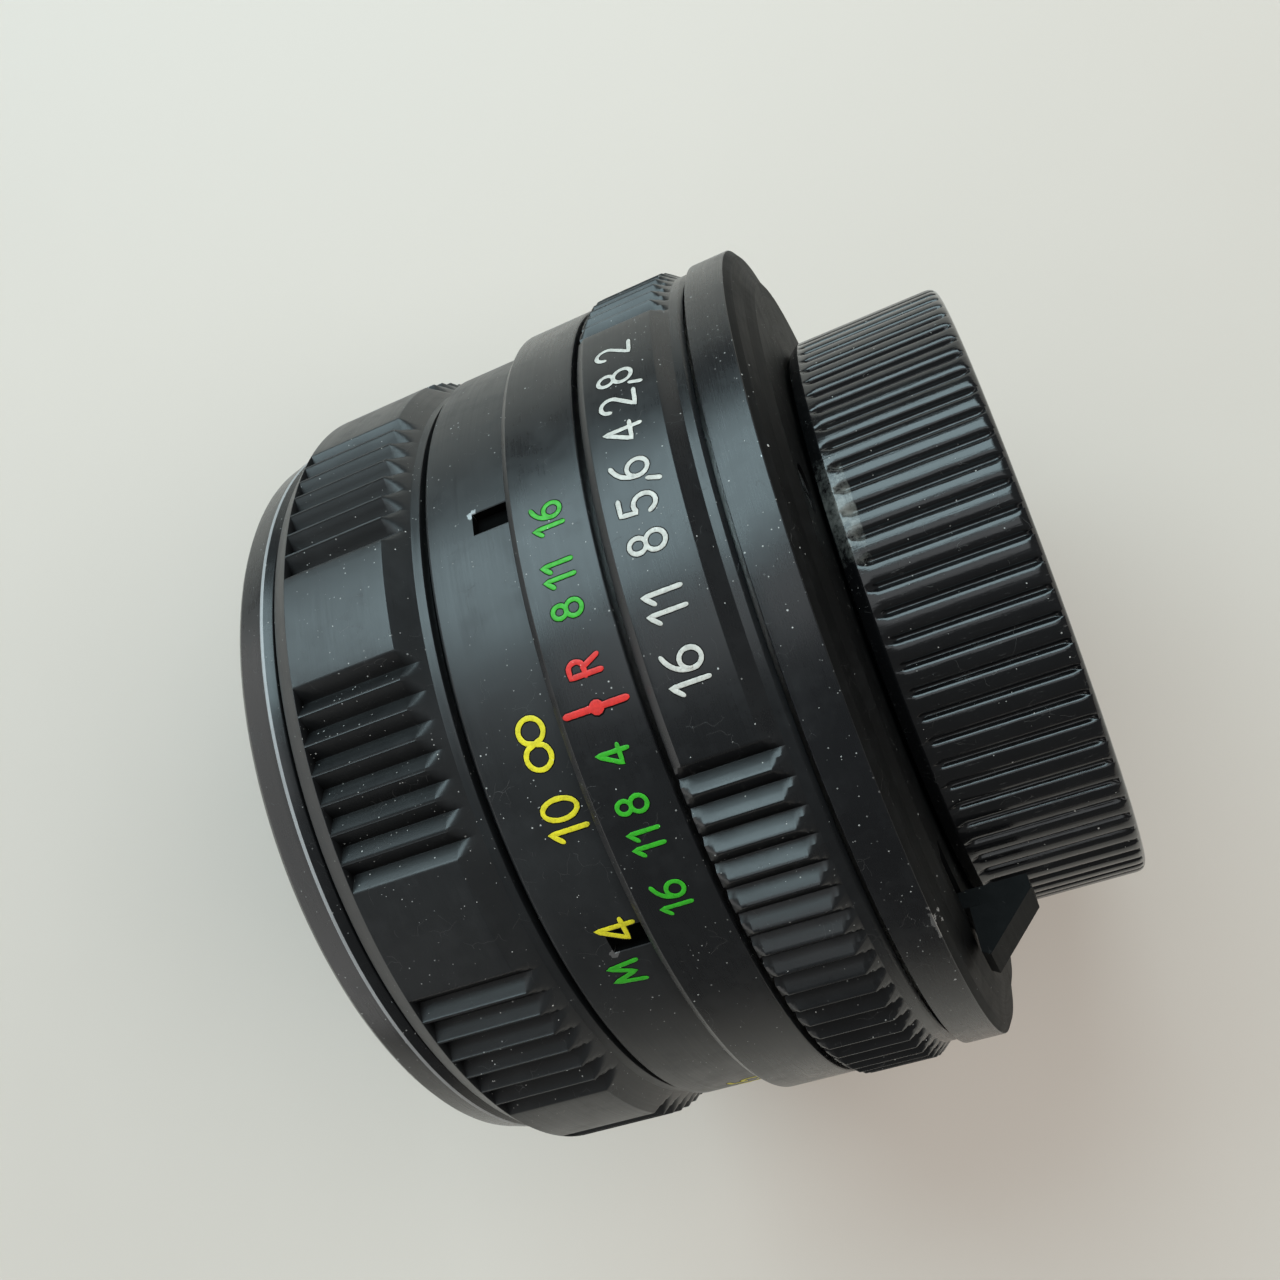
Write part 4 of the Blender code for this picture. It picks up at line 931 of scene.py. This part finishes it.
def stroke(bm, path, width, r, az, z, seed):
    """A round-ended stroke of paint along path, which is in millimetres (round, along). The outer
    edges and end caps take a second, near-black material: painted shade for the engraving's walls.
    """
    draw = random.Random(seed)
    half = 0.5 * width
    section = [(-1.42, -0.03), (-1.36, 0.006), (-0.96, 0.008), (-0.86, 0.016), (-0.4, 0.024),
               (0.4, 0.024), (0.86, 0.016), (0.96, 0.008), (1.36, 0.006), (1.42, -0.03)]
    points = []
    for i in range(len(path) - 1):
        a, b = Vector(path[i]), Vector(path[i + 1])
        count = max(1, int((b - a).length / 0.22))
        points += [a.lerp(b, k / count) for k in range(count)]
    points.append(Vector(path[-1]))
    loop = (points[0] - points[-1]).length < 0.05
    if loop:
        points = points[:-1]
    total = len(points)
    tangents = []
    for i in range(total):
        if loop:
            t = points[(i + 1) % total] - points[i - 1]
        else:
            t = points[min(i + 1, total - 1)] - points[max(i - 1, 0)]
        tangents.append(t.normalized() if t.length > 1e-9 else Vector((1.0, 0.0)))
    stations = [(p, t, half * (1.0 + draw.uniform(-0.07, 0.07))) for p, t in zip(points, tangents)]
    if not loop:
        head, tail = stations[0], stations[-1]
        caps = [(1.32, 0.3), (1.05, 0.6), (0.55, 0.89)]
        stations = ([(head[0] - head[1] * head[2] * a, head[1], head[2] * b) for a, b in caps]
                    + stations
                    + [(tail[0] + tail[1] * tail[2] * a, tail[1], tail[2] * b) for a, b in caps[::-1]])
    rings = []
    for p, t, w in stations:
        side = Vector((-t.y, t.x))
        ring = []
        for across, height in section:
            q = p + side * across * w
            ring.append(bm.verts.new(lens_point(z + q.y, r + height, az + math.degrees(q.x / r))))
        rings.append(ring)
    total, wide = len(rings), len(section)
    for i in range(total if loop else total - 1):
        a, b = rings[i], rings[(i + 1) % total]
        for j in range(wide):
            k = (j + 1) % wide
            face = bm.faces.new((a[j], a[k], b[k], b[j]))
            # painted shade: the outermost faces each side and the end caps get the dark rim
            face.material_index = 0 if 2 <= j < wide - 3 else 1
    if not loop:
        bm.faces.new(rings[0]).material_index = 1
        bm.faces.new(rings[-1][::-1]).material_index = 1


def figures(name, marks, r, body, paint, width):
    """marks are (text as a list of glyph names, az of its middle, z of its foot, height)."""
    bm = bmesh.new()
    seed = 0
    for text, az, z, height in marks:
        gap = 0.22
        total = sum(GLYPHS[g][0] for g in text) + gap * (len(text) - 1)
        x = -0.5 * total
        for glyph in text:
            wide, strokes = GLYPHS[glyph]
            for path in strokes:
                seed += 1
                stroke(bm, [((x + u) * height, v * height) for u, v in path], width, r, az, z,
                       seed * 7 + len(marks))
            x += wide + (0.10 if glyph == "," else gap)
    ob = finish_mesh(name, bm, MATERIALS[paint])
    # second slot: the painted shade rim round the strokes
    ob.data.materials.append(MATERIALS["engraving_shade_rim"])
    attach(ob, body)


def distance_az(metres):
    """Where the focus ring carries a distance: 12.9 mm of lead a turn and a 58 mm focal length."""
    focal, lead = 58.0, 12.9
    travel = focal ** 2 / (metres * 1000.0 - 2.0 * focal)
    return -1.54 - 360.0 / lead * travel


def all_figures():
    dof_foot, dof_height = DOF_Z0 + 1.7, 1.85
    left_right = [("4", -5.5), ("8", -11.1), ("11", -15.4), ("16", -22.4), ("8", 11.1),
                  ("11", 15.4), ("16", 22.4)]
    figures("dof_figures", [(list(t), az, dof_foot, dof_height) for t, az in left_right], DOF_RO,
            "base", "paint_green", 0.29)
    bm = bmesh.new()
    stroke(bm, [(0.0, 0.25), (0.0, 3.9)], 0.42, DOF_RO, 0.0, DOF_Z0 + 0.55, 3)
    stroke(bm, oval(0.0, 2.05, 0.22, 0.22, 0.0, 360.0, 12), 0.50, DOF_RO, 0.0, DOF_Z0 + 0.55, 4)
    wide, strokes = GLYPHS["R"]
    for i, path in enumerate(strokes):
        stroke(bm, [((u - 0.5 * wide) * dof_height, v * dof_height) for u, v in path], 0.33, DOF_RO,
               4.6, dof_foot, 20 + i)
    red = finish_mesh("index_and_infrared_mark", bm, MATERIALS["paint_red"])
    # second slot: the painted shade rim round the strokes
    red.data.materials.append(MATERIALS["engraving_shade_rim"])
    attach(red, "base")
    stops = ["16", "11", "8", "5,6", "4", "2,8", "2"]
    figures("aperture_figures", [(list(t), 0.5 + 7.1 * i, AP_Z0 + 3.45, 2.25)
                                 for i, t in enumerate(stops)], AP_RO, "aperture_control",
            "paint_white", 0.30)
    scale = [(["inf"], -1.54, 18.3, 1.72), (list("10"), -10.6, 17.9, 2.35)]
    for text in ("4", "1,5", "1,2", "1", "0,8", "0,7", "0,6", "0,55"):
        scale.append((list(text), distance_az(float(text.replace(",", "."))), 17.9, 2.35))
    figures("distance_figures", scale, SKIRT_RO, "focus_ring", "paint_yellow", 0.33)
    figures("metre_mark", [(["M"], -31.8, 18.9, 1.9)], SKIRT_RO, "focus_ring", "paint_green",
            0.33)


# ---- what stays from the CAD --------------------------------------------------------------------


def smooth_group():
    """Geometry nodes that weld a mesh and shade it smooth below an angle."""
    group = bpy.data.node_groups.new("smooth_by_angle", "GeometryNodeTree")
    group.interface.new_socket("Geometry", in_out="INPUT", socket_type="NodeSocketGeometry")
    group.interface.new_socket("Geometry", in_out="OUTPUT", socket_type="NodeSocketGeometry")
    nodes, links = group.nodes, group.links
    start, stop = nodes.new("NodeGroupInput"), nodes.new("NodeGroupOutput")
    weld = nodes.new("GeometryNodeMergeByDistance")
    weld.inputs["Distance"].default_value = 0.000001
    faces = nodes.new("GeometryNodeSetShadeSmooth")
    faces.domain = "FACE"
    edges = nodes.new("GeometryNodeSetShadeSmooth")
    edges.domain = "EDGE"
    angle = nodes.new("GeometryNodeInputMeshEdgeAngle")
    compare = nodes.new("FunctionNodeCompare")
    compare.operation = "LESS_THAN"
    compare.inputs[1].default_value = math.radians(24.0)
    links.new(start.outputs[0], weld.inputs["Geometry"])
    links.new(weld.outputs[0], faces.inputs["Geometry"])
    links.new(faces.outputs[0], edges.inputs["Geometry"])
    links.new(angle.outputs["Unsigned Angle"], compare.inputs[0])
    links.new(compare.outputs[0], edges.inputs["Shade Smooth"])
    links.new(edges.outputs[0], stop.inputs[0])
    return group


CAD_LOOKS = {
    "turned_alloy": ["fixed_tube", "lens_barrel", "focus_sleeve"],
    "brass": ["bearing_clip", "iris_cam_ring", "aperture_link", "pin_seat"],
    "steel": ["flange_screw_1", "flange_screw_2", "flange_screw_3", "guide_key_1", "guide_key_2",
              "detent_ball", "link_screw", "stop_down_pin"],
    "blade_steel": ["iris_blade_%d" % (k + 1) for k in range(8)],
    "matt_black": ["front_cell", "rear_cell", "rear_retainer", "iris_housing", "rear_baffle"],
    # the lever takes the darker black as painted shade
    "dull_shaded_black": ["am_lever"],
}


def carried_over():
    group = smooth_group()
    for look, names in CAD_LOOKS.items():
        for name in names:
            ob = NODES[name]
            for slot in ob.material_slots:
                slot.material = MATERIALS[look]
            if name == "am_lever":
                ease = ob.modifiers.new("ease", "BEVEL")
                ease.width, ease.segments = 0.12 * MM, 3
                ease.limit_method = "ANGLE"
            mod = ob.modifiers.new("smooth", "NODES")
            mod.node_group = group


focus_grip()
filter_ring()
name_ring()
scale_barrel()
dof_ring()
aperture_ring()
mount_flange()
rear_cap()
pin_spring()
optics()
all_figures()
carried_over()

# ---- floor, light and camera --------------------------------------------------------------------


def floor():
    half = 1.6
    mesh = bpy.data.meshes.new("floor")
    mesh.from_pydata([(-half, -half, 0), (half, -half, 0), (half, half, 0), (-half, half, 0)], [],
                     [(0, 1, 2, 3)])
    s = Shader("pale_floor", Specular_IOR_Level=0.3)
    cloud = s.noise(s.place(), 0.012, 4.0, 0.6)
    tint = s.mix(cloud, rgba(0.575, 0.525, 0.475), rgba(0.625, 0.575, 0.525))
    mesh.materials.append(s.set(Base_Color=tint, Roughness=s.ramp(cloud, 0.3, 0.7, 0.42, 0.55)))
    ob = bpy.data.objects.new("floor", mesh)
    bpy.context.scene.collection.objects.link(ob)


def area(name, place, size, power, colour, target=(0.0, 0.0, 0.03)):
    light = bpy.data.lights.new(name, "AREA")
    light.shape = "RECTANGLE"
    light.size, light.size_y = size
    light.energy = power
    light.color = colour
    ob = bpy.data.objects.new(name, light)
    ob.location = place
    ob.rotation_euler = (Vector(target) - Vector(place)).to_track_quat("-Z", "Y").to_euler()
    bpy.context.scene.collection.objects.link(ob)
    return ob


floor()
area("window", (-0.13, 0.72, 0.69), (1.0, 0.64), 9.6, (0.70, 0.93, 1.0))
area("upper_window", (-0.04, 0.25, 1.0), (0.7, 0.42), 1.0, (0.92, 0.97, 1.0))
area("front_wall", (-0.92, -0.02, 0.38), (1.8, 0.66), 4.0, (1.0, 0.985, 0.96))
fill = area("fill", (0.85, 0.0, 0.80), (1.1, 1.1), 12.5, (1.0, 0.97, 0.92))
fill.visible_glossy = False

world = bpy.data.worlds.new("room")
world.use_nodes = True
world.node_tree.nodes["Background"].inputs["Color"].default_value = (0.92, 0.93, 0.92, 1.0)
world.node_tree.nodes["Background"].inputs["Strength"].default_value = 0.13
bpy.context.scene.world = world
bpy.context.scene.view_settings.view_transform = "Standard"

lens = bpy.data.cameras.new("camera")
lens.lens = 34.875
lens.sensor_width = 36.0
lens.clip_start, lens.clip_end = 0.005, 20.0
camera = bpy.data.objects.new("camera", lens)
place = (0.02125, -0.0034, 0.12834)
right = Vector((0.9059, -0.3166, -0.2811)).normalized()
back = Vector((0.2669, -0.0884, 0.9596)).normalized()
up = back.cross(right).normalized()
right = up.cross(back)
camera.matrix_world = (Matrix.Translation(place)
                       @ Matrix((right, up, back)).transposed().to_4x4())
bpy.context.scene.collection.objects.link(camera)
bpy.context.scene.camera = camera
